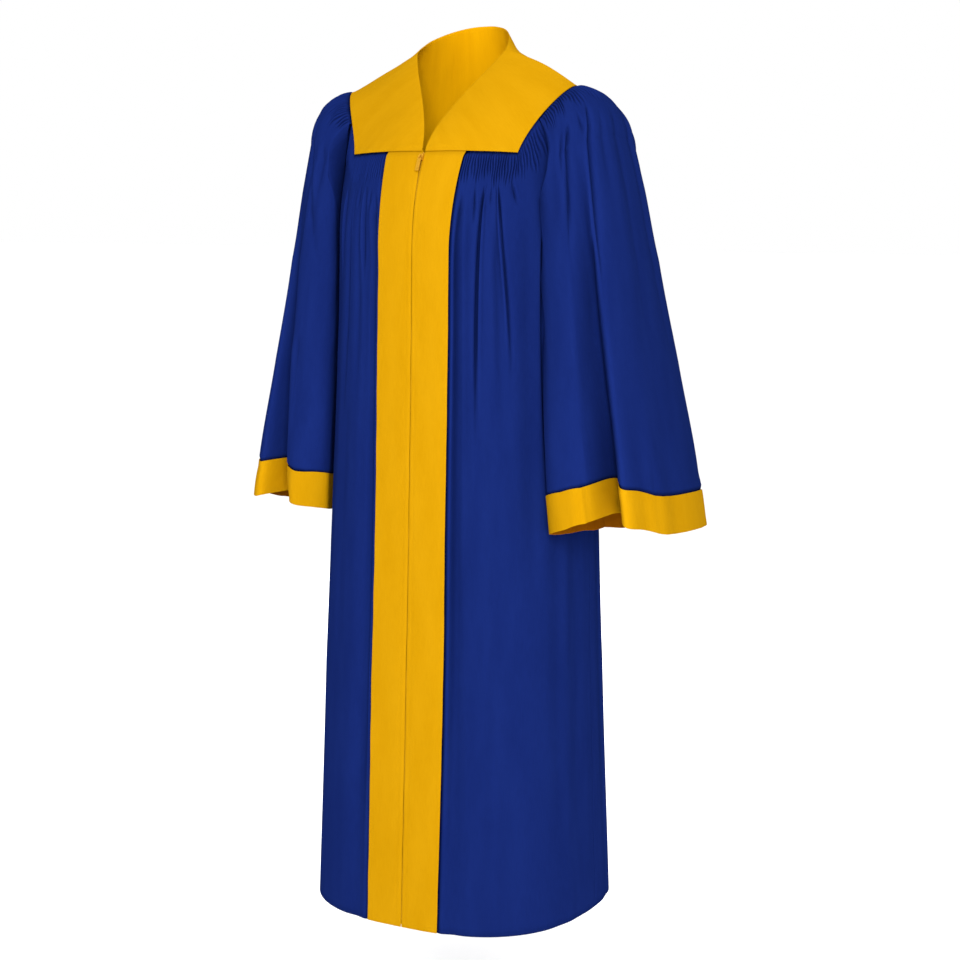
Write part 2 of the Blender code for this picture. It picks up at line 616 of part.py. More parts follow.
def solidify(thing, thickness=CLOTH):
    """Give an open surface its wall, inwards from the modelled face."""
    wall = thing.modifiers.new("wall", "SOLIDIFY")
    wall.thickness = thickness
    wall.offset = -1.0
    return thing


def zip_rows(first, second, ring):
    """Triangles between two rows of (place, index) pairs with different counts. What the
    lower row has past the ends of the upper row is left open."""
    a = list(first)
    b = [pair for pair in second if ring or a[0][0] - 1e-9 <= pair[0] <= a[-1][0] + 1e-9]
    if ring:
        a.append((a[0][0] + 1, a[0][1]))
        b.append((b[0][0] + 1, b[0][1]))
    faces, i, j = [], 0, 0
    while i < len(a) - 1 or j < len(b) - 1:
        go_a = j == len(b) - 1 or (i < len(a) - 1 and a[i + 1][0] <= b[j + 1][0] + 1e-9)
        if go_a:
            faces.append((a[i][1], b[j][1], a[i + 1][1]))
            i += 1
        else:
            faces.append((a[i][1], b[j][1], b[j + 1][1]))
            j += 1
    return faces


def cloth(name, rows, colour, mirror=False, ring=False):
    """Cloth piece from rows of (places, points), top row first; rows may differ in count."""
    verts, faces, index = [], [], []
    for places, points in rows:
        start = len(verts)
        verts.extend(points)
        index.append([(p, start + k) for k, p in enumerate(places)])
    for first, second in zip(index, index[1:]):
        same = len(first) == len(second) and np.allclose([p for p, _ in first], [p for p, _ in second])
        if same:
            count = len(first)
            for k in range(count if ring else count - 1):
                n = (k + 1) % count
                faces.append((first[k][1], second[k][1], second[n][1], first[n][1]))
        else:
            faces.extend(zip_rows(first, second, ring))
    verts = np.array(verts)
    if mirror:
        verts[:, 0] *= -1
        faces = [f[::-1] for f in faces]
    thing = link_mesh(name, verts, faces, colour)
    return solidify(thing)


def waves(places, low, high, count):
    """Peaks and valleys at the gathered columns between two marks, zero elsewhere."""
    phase = (places - low) / (high - low) * count * 2
    inside = (places > low + SEAM_STRIP * 1.01) & (places < high - 1e-6)
    return np.where(inside, np.cos(phase * math.pi), 0.0)


def gathered_places(low, high, count):
    """Two columns for each wave between two marks."""
    return np.linspace(low, high, 2 * count + 1)


EDGE_STEP = 2e-4          # share of a column at which its direction at the seam is read
NORMAL_STEP = 1e-3        # places and shares at which the surface's normal is read


def edge_row(points_at, places, gap):
    """Top row of a piece, the gap away from its seam and square to it."""
    top = points_at(places, 0 * places)
    down = points_at(places, 0 * places + EDGE_STEP) - top
    seam = np.gradient(top, axis=0)
    seam = seam / np.linalg.norm(seam, axis=-1, keepdims=True)
    square = down - seam * np.sum(down * seam, axis=-1, keepdims=True)
    return top + gap * square / np.linalg.norm(square, axis=-1, keepdims=True)


def gathered_row(points_at, places, t, height):
    """Row of points at t, moved along the surface's normal by the heights."""
    t = np.zeros_like(places) + t
    here = points_at(places, t)
    along = points_at(places + NORMAL_STEP, t) - points_at(places - NORMAL_STEP, t)
    lower = points_at(places, t + NORMAL_STEP) - here
    normal = np.cross(lower, along)
    normal = normal / np.maximum(np.linalg.norm(normal, axis=-1, keepdims=True), 1e-12)
    return here + normal * np.asarray(height)[..., None]


# ---------------------------------------------------------------- pieces
def side_name(mirror):
    return "right" if mirror else "left"


# Shoulder seam of the yoke, as q: half its gap, and the first column beside it
YOKE_SLIP = 0.0010
YOKE_STRIP = 0.0120
YOKE_START = 0.004        # first column of the yoke fronts, beside the V
YOKE_LOW_COLUMNS = 8      # on a straight lower run
YOKE_SLANT_COLUMNS = 12   # on a slanted run
YOKE_FRONT_ROWS = (0, 0.22, 0.48, 0.75, 1.0)
YOKE_BACK_ROWS = (0, 0.18, 0.40, 0.70, 1.0)


def build_yoke_front(mirror):
    """Gold yoke front from the V to the shoulder line."""
    low = np.linspace(YOKE_START, Q_CORNER, YOKE_LOW_COLUMNS)
    slant = np.linspace(Q_CORNER, Q_TIP - YOKE_STRIP, YOKE_SLANT_COLUMNS)
    q = np.unique(np.concatenate([low, slant, [Q_TIP - YOKE_SLIP]]))
    rows = [(q, yoke_point(q, np.full_like(q, r))) for r in YOKE_FRONT_ROWS]
    return cloth("yoke_front_" + side_name(mirror), rows, GOLD, mirror)


def build_yoke_back():
    """Gold yoke back in one piece, from shoulder line to shoulder line."""
    slant = np.linspace(Q_TIP + YOKE_STRIP, Q_BACK_CORNER, YOKE_SLANT_COLUMNS)
    half = np.unique(np.concatenate([[Q_TIP + YOKE_SLIP], slant,
                                     np.linspace(Q_BACK_CORNER, 1, YOKE_LOW_COLUMNS)]))
    places = np.concatenate([half, 2 - half[-2::-1]])
    rows = []
    for r in YOKE_BACK_ROWS:
        points = yoke_point(half, np.full_like(half, r))
        other = points[-2::-1] * [-1, 1, 1]
        rows.append((places, np.vstack([points, other])))
    return cloth("yoke_back", rows, GOLD)


def columns(gathers, edges):
    """Fine and coarse columns of the gathered stretches, with one close beside each plain edge;
    gathers lists (from, to, waves, coarse columns) and edges lists (edge, way inwards)."""
    fine = [np.linspace(a, b, 2 * count + 1) for a, b, count, _ in gathers]
    coarse = [np.linspace(a, b, few + 1) for a, b, _, few in gathers]
    beside = [edge + way * SEAM_STRIP for edge, way in edges]
    rows = []
    for row in (fine, coarse):
        row = np.unique(np.round(np.concatenate([*row, beside]), 9))
        for edge, way in edges:
            row[np.argmin(np.abs(row - edge))] += way * EDGE_SHARE
        rows.append(row)
    return rows


# Shares of the panel's height at which rows are set
GATHER_ROWS = (0.008, 0.017)
WAVE_FADE = (1.0, 0.5)
CORNER_CALM = 0.035       # the waves fade out this near to the yoke's corners
UPPER_ROWS = (0.034, 0.070, 0.105)
LOWER_ROWS = (0.19, 0.28, 0.39, 0.52, 0.68, 0.84, 1.0)
UNDERARM_COLUMNS = 6
FRONT_COLUMNS = 9         # plain columns below the gathers of a front
BACK_COLUMNS = 10         # and of half the back
SLANT_COLUMNS = 4         # of these, under each slanted edge of the yoke
EDGE_SHARE = SEAM_GAP / HALF_HEM / 2


def gather_height(places, gathers):
    """Wave heights along a top seam with its gathered stretches."""
    height = np.zeros_like(places)
    for a, b, count, _ in gathers:
        height += waves(places, a, b, count)
    for corner in (MARK_CORNER, MARK_BACK_CORNER):
        height *= 1 - np.exp(-((places - corner) / CORNER_CALM) ** 2)
    return height * WAVE_HEIGHT


def build_front(mirror):
    """Blue front from the band's seam to the side seam."""
    gathers = [(MARK_BAND, MARK_CORNER, WAVES_FRONT - WAVES_SLANT, FRONT_COLUMNS),
               (MARK_CORNER, MARK_SLEEVE_FRONT, WAVES_SLANT, SLANT_COLUMNS)]
    fine, coarse = columns(gathers, [(MARK_BAND, 1)])
    fine[-1] -= ARM_SLIP
    coarse[-1] -= ARM_SLIP
    under = np.linspace(MARK_SLEEVE_FRONT, MARK_SIDE - EDGE_SHARE, UNDERARM_COLUMNS + 1)
    below = np.concatenate([coarse, under[1:]])
    height = gather_height(fine, gathers)
    rows = [(fine, edge_row(body_point, fine, YOKE_GAP))]
    rows += [(fine, gathered_row(body_point, fine, t, height * k))
             for t, k in zip(GATHER_ROWS, WAVE_FADE)]
    rows += [(coarse, body_point(coarse, np.full_like(coarse, t))) for t in UPPER_ROWS]
    rows += [(below, body_point(below, np.full_like(below, t))) for t in (ARM_FRONT, *LOWER_ROWS)]
    return cloth("front_" + side_name(mirror), rows, BLUE, mirror)


def build_back():
    """Blue back in one piece from side seam to side seam."""
    gathers = [(MARK_SLEEVE_BACK, MARK_BACK_CORNER, WAVES_SLANT, SLANT_COLUMNS),
               (MARK_BACK_CORNER, 1.0, WAVES_BACK // 2 - WAVES_SLANT, BACK_COLUMNS)]
    fine, coarse = columns(gathers, [])
    fine[0] += ARM_SLIP
    coarse[0] += ARM_SLIP
    under = np.linspace(MARK_SIDE + EDGE_SHARE, MARK_SLEEVE_BACK, UNDERARM_COLUMNS + 1)
    below = np.concatenate([under[:-1], coarse])
    height = gather_height(fine, gathers)
    rows = [both_halves(fine, edge_row(body_point, fine, YOKE_GAP))]
    rows += [both_halves(fine, gathered_row(body_point, fine, t, height * k))
             for t, k in zip(GATHER_ROWS, WAVE_FADE)]
    rows += [both_halves(coarse, body_point(coarse, np.full_like(coarse, t))) for t in UPPER_ROWS]
    rows += [both_halves(below, body_point(below, np.full_like(below, t)))
             for t in (ARM_BACK, *LOWER_ROWS)]
    return cloth("back", rows, BLUE)


def both_halves(places, points):
    """Add the mirrored half after a row that ends on the centre plane."""
    points = points.copy()
    points[-1, 0] = 0.0
    other = points[-2::-1] * [-1, 1, 1]
    return np.concatenate([places, 2 - places[-2::-1]]), np.vstack([points, other])


def build_band(mirror):
    """Gold front band beside the zip, from the yoke to the hem."""
    s = np.array([EDGE_SHARE, MARK_BAND / 3, MARK_BAND * 2 / 3,
                  MARK_BAND - SEAM_STRIP, MARK_BAND - EDGE_SHARE])
    rows = [(s, edge_row(body_point, s, YOKE_GAP))]
    rows += [(s, body_point(s, np.zeros_like(s) + t))
             for t in (*GATHER_ROWS, *UPPER_ROWS, ARM_FRONT, *LOWER_ROWS)]
    return cloth("front_band_" + side_name(mirror), rows, GOLD, mirror)


SLEEVE_COLUMNS = 32       # plain columns of a sleeve between the two ends of its gathers


def arm_columns():
    """Places round the sleeve of the columns on the armhole: on the body's own rows and columns."""
    upright = np.array([*GATHER_ROWS[1:], *UPPER_ROWS, ARM_FRONT]) / ARM_FRONT * UPRIGHT_SHARE
    under = np.linspace(UPRIGHT_SHARE, 1, UNDERARM_COLUMNS + 1)[1:]
    near = np.concatenate([upright, under])
    front = SLEEVE_FRONT_MARK * (1 - near[::-1])
    back = 1 - (1 - SLEEVE_BACK_MARK) * (1 - near)
    return front, back[:-1]


def sleeve_rows():
    """Places of the fine and the coarse columns of a sleeve."""
    front, back = arm_columns()
    fine = gathered_places(SLEEVE_FRONT_MARK, SLEEVE_BACK_MARK, WAVES_SLEEVE)
    coarse = np.linspace(SLEEVE_FRONT_MARK, SLEEVE_BACK_MARK, SLEEVE_COLUMNS + 1)
    return np.concatenate([front, fine, back]), np.concatenate([front, coarse, back])


# Rows of a sleeve: on its head, as t, and below it, as shares of the way to the cuff's seam
SLEEVE_HEAD_ROWS = (0.035, 0.075)
SLEEVE_PLAIN_HEAD_ROWS = (0.115, 0.16)
SLEEVE_ROWS = (0.07, 0.19, 0.33, 0.50, 0.72, 1.0)


def build_sleeve(mirror):
    """Blue sleeve, gathered into the yoke and open at the wrist."""
    folds = SLEEVE_FOLDS
    fine, coarse = sleeve_rows()
    height = waves(fine, SLEEVE_FRONT_MARK, SLEEVE_BACK_MARK, WAVES_SLEEVE) * WAVE_HEIGHT

    def point(u, t):
        return sleeve_point(u % 1, t, folds)

    rows = [(fine, edge_row(point, fine, YOKE_GAP))]
    rows += [(fine, gathered_row(point, fine, t, height * k))
             for t, k in zip(SLEEVE_HEAD_ROWS, WAVE_FADE)]
    seam = above_wrist(coarse, CUFF_DEPTH + CUFF_GAP / 2, folds)
    for t in SLEEVE_PLAIN_HEAD_ROWS:
        rows.append((coarse, point(coarse, np.full_like(coarse, t))))
    for share in SLEEVE_ROWS:
        rows.append((coarse, point(coarse, HEAD_SHARE + (seam - HEAD_SHARE) * share)))
    return cloth("sleeve_" + side_name(mirror), rows, BLUE, mirror, ring=True)


def build_cuff(mirror):
    """Gold cuff band at the wrist."""
    folds = SLEEVE_FOLDS
    _, coarse = sleeve_rows()
    rows = [(coarse, sleeve_point(coarse, above_wrist(coarse, distance, folds), folds))
            for distance in (CUFF_DEPTH - CUFF_GAP / 2, CUFF_DEPTH / 2, 0.0)]
    return cloth("cuff_" + side_name(mirror), rows, GOLD, mirror, ring=True)


def zip_frame():
    """Point on the bands' front face under the slider, with its directions down and outward."""
    top = body_top(np.array(0.0))
    t = (top[2] - SLIDER_Z) / (top[2] - HEM_Z)
    upper, here, lower = (body_point(np.array(0.0), t + d) for d in (-1e-3, 0.0, 1e-3))
    down = lower - upper
    down[0] = 0.0
    down = down / np.linalg.norm(down)
    outward = np.array([0.0, down[2], -down[1]])
    return np.array([0.0, here[1], here[2]]), down, outward


def placed(local):
    """Points (across, down, outward) of the slider's frame as part points."""
    origin, down, outward = zip_frame()
    local = np.array(local, float)
    return origin + local[:, :1] * [1, 0, 0] + local[:, 1:2] * down + local[:, 2:] * outward


def rounded(thing):
    """Round the edges of a hard piece."""
    bevel = thing.modifiers.new("edges", "BEVEL")
    bevel.width = TAB_ROUND
    bevel.segments = 1
    bevel.limit_method = "ANGLE"
    return thing


def plate(across, down, low, high, holes=()):
    """Points and faces of a flat solid over a grid of cells, leaving out the cells in holes."""
    nx, ny = len(across), len(down)
    verts = [(x, d, h) for h in (low, high) for d in down for x in across]
    solid = {(i, j) for i in range(nx - 1) for j in range(ny - 1)} - set(holes)
    faces = []
    for i, j in solid:
        a, b, c, d = j * nx + i, j * nx + i + 1, (j + 1) * nx + i + 1, (j + 1) * nx + i
        top = nx * ny
        faces.append((a, b, c, d))
        faces.append((d + top, c + top, b + top, a + top))
        for (p, q), beside in (((a, b), (i, j - 1)), ((b, c), (i + 1, j)),
                               ((c, d), (i, j + 1)), ((d, a), (i - 1, j))):
            if beside not in solid:
                faces.append((q, p, p + top, q + top))
    return verts, faces


def build_zip_tape():
    """Zip tape behind the two bands."""
    across = np.array([1.0, 0.5, 0.0, 0.5, 1.0]) * TAPE_HALF_WIDTH
    sign = np.array([-1.0, -1.0, 0.0, 1.0, 1.0])
    place = across / HALF_HEM
    rows = []
    for t in (*GATHER_ROWS, *UPPER_ROWS, ARM_FRONT, *LOWER_ROWS[:-1], TAPE_END):
        points = gathered_row(body_point, place, t, np.full_like(place, -CLOTH - TAPE_GAP))
        points[:, 0] = sign * across
        rows.append((sign * place, points))
    tape = cloth("zip_tape", rows, GOLD)
    tape.modifiers["wall"].thickness = TAPE_THICK
    return tape


def build_zip_slider():
    """Zip slider with the ring for its pull tab."""
    half_w, half_l = SLIDER_WIDTH / 2, SLIDER_LENGTH / 2
    verts, faces = plate((-half_w, half_w), (-half_l, half_l), SLIDER_GAP, SLIDER_GAP + SLIDER_HEIGHT)
    slider = rounded(link_mesh("zip_slider", placed(verts), faces, BRASS, BRASS_ROUGH, 1.0))

    axis = SLIDER_GAP + SLIDER_HEIGHT + AXIS_HEIGHT
    foot = SLIDER_GAP + SLIDER_HEIGHT / 2
    turn = np.arange(BRIDGE_SIDES) * 2 * math.pi / BRIDGE_SIDES
    outer = [(BRIDGE_OUTER * math.sin(a), axis - BRIDGE_OUTER * math.cos(a)) for a in turn]
    outer[-1], outer[0], outer[1] = (-NECK_HALF, foot), (0.0, foot), (NECK_HALF, foot)
    inner = [(BRIDGE_HOLE * math.sin(a), axis - BRIDGE_HOLE * math.cos(a)) for a in turn]
    verts = [(x, d, h) for x in (-BRIDGE_WIDTH / 2, BRIDGE_WIDTH / 2) for d, h in outer + inner]
    n, faces = BRIDGE_SIDES, []
    for k in range(n):
        m = (k + 1) % n
        o0, o1, i0, i1, far = k, m, n + k, n + m, 2 * n
        faces += [(o0, i0, i1, o1), (o1 + far, i1 + far, i0 + far, o0 + far),
                  (o0, o1, o1 + far, o0 + far), (i1, i0, i0 + far, i1 + far)]
    ring = link_mesh("zip_ring_shape", placed(verts), faces, BRASS, BRASS_ROUGH, 1.0)
    ring.hide_render = True
    ring.display_type = "WIRE"
    join = slider.modifiers.new("ring", "BOOLEAN")
    join.operation = "UNION"
    join.solver = "EXACT"
    join.object = ring
    return slider


def build_zip_pull_tab():
    """Pull tab that hangs from the slider's ring, origin on its hinge axis."""
    half, eye = TAB_WIDTH / 2, EYE_WIDTH / 2
    down = (-BAR_HALF, BAR_HALF, BAR_HALF + EYE_LENGTH, TAB_LENGTH)
    verts, faces = plate((-half, -eye, eye, half), down, -TAB_THICK / 2, TAB_THICK / 2, holes=[(1, 1)])
    axis = SLIDER_GAP + SLIDER_HEIGHT + AXIS_HEIGHT
    points = placed(np.array(verts) + [0, 0, axis])
    hinge = placed([(0, 0, axis)])[0]
    tab = rounded(link_mesh("zip_pull_tab", points - hinge, faces, BRASS, BRASS_ROUGH, 1.0))
    tab.location = hinge
    return tab


def build_all():
    """Every piece of the robe."""
    for mirror in (False, True):
        build_yoke_front(mirror)
        build_front(mirror)
        build_band(mirror)
        build_sleeve(mirror)
        build_cuff(mirror)
    build_yoke_back()
    build_back()
    build_zip_tape()
    build_zip_slider()
    build_zip_pull_tab()


for old in list(bpy.data.objects):
    bpy.data.objects.remove(old)
bpy.context.scene.collection.children.link(bpy.data.collections.new(COLLECTION_NAME))
build_all()
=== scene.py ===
"""Choir robe, dressed: blue cloth gathered under a gold yoke, gold front bands and gold cuffs.

Metres, +Z up. The robe faces -Y and the wearer's left is +X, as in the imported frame.
"""

import math

import bpy
import numpy as np
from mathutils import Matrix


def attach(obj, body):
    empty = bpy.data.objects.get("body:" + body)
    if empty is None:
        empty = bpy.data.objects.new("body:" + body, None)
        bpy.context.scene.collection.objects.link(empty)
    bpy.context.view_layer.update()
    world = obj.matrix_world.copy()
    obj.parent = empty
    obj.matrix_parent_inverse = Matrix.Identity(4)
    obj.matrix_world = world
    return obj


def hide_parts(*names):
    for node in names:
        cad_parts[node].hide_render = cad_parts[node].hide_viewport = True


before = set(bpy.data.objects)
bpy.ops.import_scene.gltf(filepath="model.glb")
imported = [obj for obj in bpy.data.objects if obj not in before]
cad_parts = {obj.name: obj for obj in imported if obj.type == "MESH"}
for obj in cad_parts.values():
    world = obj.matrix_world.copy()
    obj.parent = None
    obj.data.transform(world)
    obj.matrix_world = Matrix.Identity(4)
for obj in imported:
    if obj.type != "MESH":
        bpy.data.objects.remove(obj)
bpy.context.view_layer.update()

# ================================================================ gold cloth and yoke
# The yoke is three pieces of gold polyester twill, two fronts and a back with a grown-on
# stand, sewn at the shoulders and faced round the open neck. Its lower edge carries the robe.
# Its inner face is a lighter copy of the gold: painted light inside the neck.

YOKE_WALL = 0.0014
FRONT_Z = -0.143          # lower edge of the yoke in front

# Neckline, from the V at the front centre round the side to the back centre (Bezier points)
NECK_FRONT = ((0.0030, -0.1150, -0.1380), (0.0080, -0.0850, -0.0850),
              (0.0600, -0.0330, -0.0280), (0.0770, 0.0020, 0.0110))
NECK_BACK = ((0.0770, 0.0020, 0.0110), (0.0790, 0.0210, 0.0300),
             (0.0500, 0.0880, 0.0570), (0.0000, 0.0900, 0.0560))

# Outer edge of the yoke: straight lower runs, and slanted runs over the shoulder's tip
YOKE_CENTRE = (0.0012, -0.1175, FRONT_Z)
YOKE_CORNER = (0.1420, -0.0840, -0.1460)
YOKE_BACK_CORNER = (0.1420, 0.1050, -0.1480)
YOKE_BACK_CENTRE = (0.0000, 0.1300, -0.1500)
YOKE_TIP = (0.1950, 0.0070, -0.0450)
YOKE_SLANT = (YOKE_CORNER, (0.1500, -0.0660, -0.1050), (0.1950, -0.0280, -0.0450), YOKE_TIP)
YOKE_BACK_SLANT = (YOKE_TIP, (0.1950, 0.0440, -0.0450), (0.1480, 0.0920, -0.1050), YOKE_BACK_CORNER)
YOKE_BOW = (0.0, -0.0075, 0.0015)      # of the straight lower runs, at their middle
YOKE_BACK_BOW = (0.0, 0.0080, 0.0)

# Marks round the yoke, as q: its corner, its tip on the shoulder line, its back corner
Q_CORNER = 0.30
Q_TIP = 0.50
Q_BACK_CORNER = 0.70

YOKE_BULGE_Y = 0.008      # how far the cloth stands out of the straight line, outwards
YOKE_BULGE_Z = 0.004      # upwards, everywhere
YOKE_BULGE_SIDE = 0.004   # upwards too, on the shoulder
YOKE_SINK = 0.0085        # the wearer's right shoulder hangs this much lower between its edges
SHOULDER_SPAN = 0.14      # how wide the shoulder is, as q
CENTRE_SPAN = 0.20        # the bulge grows from the front centre over this, as q


def bezier(points, t):
    """Cubic Bezier curve: the four points weighted by the Bernstein polynomials of t."""
    p = np.array(points, float)
    t = np.asarray(t, float)[..., None]
    return ((1 - t) ** 3 * p[0] + 3 * (1 - t) ** 2 * t * p[1]
            + 3 * (1 - t) * t ** 2 * p[2] + t ** 3 * p[3])


def bowed(start, end, t, bow):
    """Straight line from start to end, plus the vector bow times the parabola 4 t (1 - t)."""
    t = np.asarray(t, float)[..., None]
    start, end, bow = (np.array(v, float) for v in (start, end, bow))
    return start + (end - start) * t + bow * 4 * t * (1 - t)


def ease(x):
    """Smooth step: 3 x squared less 2 x cubed, with x held between 0 and 1."""
    x = np.clip(x, 0, 1)
    return x * x * (3 - 2 * x)


def bell(x, middle, width):
    """Bell curve: e to the minus square of the distance from the middle over the width."""
    return np.exp(-((x - middle) / width) ** 2)


def one_half(place):
    """Place on the first half that mirrors a place past 1, or else the place itself."""
    return np.where(place > 1, 2 - place, place)


def neckline(q):
    """Neck edge: one Bezier from the front V to the shoulder line, one on to the back centre."""
    q = np.asarray(q, float)
    front = bezier(NECK_FRONT, np.clip(2 * q, 0, 1))
    back = bezier(NECK_BACK, np.clip(2 * q - 1, 0, 1))
    return np.where((q < 0.5)[..., None], front, back)


def yoke_edge(q):
    """Outer edge: a bowed line in front, two Beziers over the shoulder's tip, a bowed line behind."""
    q = np.asarray(q, float)
    low = bowed(YOKE_CENTRE, YOKE_CORNER, q / Q_CORNER, YOKE_BOW)
    slant = bezier(YOKE_SLANT, (q - Q_CORNER) / (Q_TIP - Q_CORNER))
    back_slant = bezier(YOKE_BACK_SLANT, (q - Q_TIP) / (Q_BACK_CORNER - Q_TIP))
    back = bowed(YOKE_BACK_CORNER, YOKE_BACK_CENTRE, (q - Q_BACK_CORNER) / (1 - Q_BACK_CORNER),
                 YOKE_BACK_BOW)
    run = np.digitize(q, (Q_CORNER, Q_TIP, Q_BACK_CORNER))[..., None]
    return np.choose(run, (low, slant, back_slant, back))


def yoke_point(q, r):
    """Yoke: straight from the neckline, r = 0, to the edge, r = 1, plus a bulge of 4 r (1 - r)."""
    inner, outer = neckline(q), yoke_edge(q)
    flat = inner + (outer - inner) * np.asarray(r, float)[..., None]
    side = bell(q, Q_TIP, SHOULDER_SPAN)
    out_y = np.where(q < Q_TIP, -1.0, 1.0) * (1 - side)
    bulge = 4 * r * (1 - r) * np.clip(q / CENTRE_SPAN, 0, 1)
    flat[..., 1] += bulge * YOKE_BULGE_Y * out_y
    flat[..., 2] += bulge * (YOKE_BULGE_Z + YOKE_BULGE_SIDE * side)
    return flat


def unit(vectors):
    """The vectors over their lengths."""
    return vectors / np.maximum(np.linalg.norm(vectors, axis=-1, keepdims=True), 1e-12)


def outward(points, ring=False):
    """Unit normal of a grid of points, rows down and columns round: the cross product of its
    differences down and across, so that it points out of the robe."""
    wide = np.concatenate([points[:, -2:-1], points, points[:, 1:2]], axis=1) if ring else points
    across = np.gradient(wide, axis=1)
    across = across[:, 1:-1] if ring else across
    down = np.gradient(points, axis=0)
    return unit(np.cross(down, across))


FOLD_PAINTED_SHADE = 0.50          # painted shade: share of the colour lost at the bottom of a sharp fold
FOLD_PAINTED_HIGHLIGHT = 0.14         # painted highlight: share of the colour gained along a sharp top
FOLD_SHARP = 1.3          # how soon a fold counts as sharp
SEAM_PAINTED_SHADE = 0.80          # painted shade: share of the colour lost where the cloth turns under a seam
SEAM_PAINTED_SHADE_WIDTH = 0.0050


def painted_shade_and_highlight(points, ring, reach=3):
    """Painted shade and highlight of the folds, as the share of the colour kept: less in a sharp
    valley and more on a sharp top, by how far the point lies below or above the middle of its
    neighbours, reach columns to either side."""
    normal = outward(points, ring)
    if ring:
        left, right = np.roll(points[:, :-1], reach, 1), np.roll(points[:, :-1], -reach, 1)
        left, right = (np.concatenate([a, a[:, :1]], 1) for a in (left, right))
    else:
        at = np.arange(points.shape[1])
        reach = np.minimum(reach, np.minimum(at, at[-1] - at))
        left, right = points[:, at - reach], points[:, at + reach]
    span = np.maximum(np.linalg.norm(right - left, axis=-1), 1e-5)
    below = 2 * np.sum(((left + right) / 2 - points) * normal, -1) / span
    below = below * FOLD_SHARP
    return 1 - FOLD_PAINTED_SHADE * np.clip(below, 0, 1) + FOLD_PAINTED_HIGHLIGHT * np.clip(-below, 0, 1)


def painted_seam_shade(distance):
    """Painted shade along a seam: least of the colour kept on it, all of it from the shade's width away."""
    return 1 - SEAM_PAINTED_SHADE * (1 - ease(distance / SEAM_PAINTED_SHADE_WIDTH))


def in_scene(name, data):
    """New object of the mesh, the lamp or the camera, linked into the scene."""
    thing = bpy.data.objects.new(name, data)
    bpy.context.scene.collection.objects.link(thing)
    return thing


def cloth_piece(name, grids, finish, wall, mirror=False, ring=False, inside=None):
    """One layer of cloth from grids of (points, uv, kept quads, extra columns, painted seam shade),
    top first, and its wall. After its extra columns each grid has every second column of the one
    above, joined by triangles. A ring's last column repeats its first, which keeps its UV whole.
    Each point keeps the painted shade and highlight of its fold, times the painted seam shade, as
    an attribute. The wall's inner face takes the finish inside, where there is one."""
    verts, faces, uvs, shades, start = [], [], [], [], 0
    above = None
    for points, uv, kept, extra, shade in grids:
        rows, cols = points.shape[:2]
        own = cols - 1 if ring else cols
        index = start + np.arange(rows)[:, None] * own + np.arange(cols) % own
        verts.append(points[:, :own].reshape(-1, 3))
        # Painted shade and highlight of the folds, times the painted seam shade, kept for each point.
        shades.append((painted_shade_and_highlight(points, ring) * shade)[:, :own].ravel())
        corner = [(slice(0, -1), slice(0, -1)), (slice(1, None), slice(0, -1)),
                  (slice(1, None), slice(1, None)), (slice(0, -1), slice(1, None))]
        quads = np.stack([index[c] for c in corner], -1)[kept]
        faces += quads.tolist()
        uvs.append(np.stack([uv[c] for c in corner], -2)[kept].reshape(-1, 2))
        if above is not None:
            upper, upper_uv = above
            k = np.arange((len(upper) - 1) // 2)
            m = k + extra
            for a, b, c in (((upper, 2 * k), (index[0], m), (upper, 2 * k + 1)),
                            ((upper, 2 * k + 1), (index[0], m), (index[0], m + 1)),
                            ((upper, 2 * k + 1), (index[0], m + 1), (upper, 2 * k + 2))):
                faces += np.stack([row[at] for row, at in (a, b, c)], -1).tolist()
                places = [(upper_uv if row is upper else uv[0])[at] for row, at in (a, b, c)]
                uvs.append(np.stack(places, 1).reshape(-1, 2))
        above = (index[-1], uv[-1])
        start += rows * own
    verts, uvs = np.concatenate(verts), np.concatenate(uvs)
    used, faces_flat = np.unique(np.concatenate(faces), return_inverse=True)
    sizes = np.array([len(f) for f in faces])
    ends = np.cumsum(sizes)
    verts = verts[used]
    if mirror:
        verts = verts * [-1, 1, 1]
        flipped = np.concatenate([np.arange(e - 1, e - n - 1, -1) for e, n in zip(ends, sizes)])
        faces_flat, uvs = faces_flat[flipped], uvs[flipped] * [-1, 1]
    faces = np.split(faces_flat, ends[:-1])
    mesh = bpy.data.meshes.new(name)
    mesh.from_pydata(verts.tolist(), [], [f.tolist() for f in faces])
    mesh.uv_layers.new(name="cloth").data.foreach_set("uv", uvs.ravel())
    shade = np.concatenate(shades)[used].astype(np.float32)
    mesh.attributes.new("painted_shade_and_highlight", "FLOAT", "POINT").data.foreach_set("value", shade)
    mesh.shade_smooth()
    mesh.materials.append(finish)
    piece = in_scene(name, mesh)
    solid = piece.modifiers.new("wall", "SOLIDIFY")
    solid.thickness = wall
    solid.offset = -1.0
    if inside:
        mesh.materials.append(inside)
        solid.material_offset = 1
    return piece


def full_grid(points, uv, shade=1.0):
    """Grid with all its quads, no extra columns and the given painted seam shade."""
    return points, uv, np.ones((points.shape[0] - 1, points.shape[1] - 1), bool), 0, shade


THREAD = 0.00062          # pitch of the weave
SLUBS = (900.0, 45.0, 1.0)        # noise cells a metre across and along the threads
SLUB_RISE = 1.6           # a slub stands this many threads high
SLUB_TONE = 0.45          # share of the slubs in the change of tone
TONES = (34.0, 7.0, 1.0)          # cells a metre of the slow change of tone
TONE_LOW = 0.38           # the deep colour up to here, and the full one from TONE_HIGH
TONE_HIGH = 0.62
RELIEF = 0.35             # strength and height of the weave's bump
THREAD_RISE = 0.0002
SHEEN_ROUGH = 0.5
GOLD = (0.374, 0.186, 0.0020, 1.0)
GOLD_DEEP = (0.348, 0.169, 0.0012, 1.0)


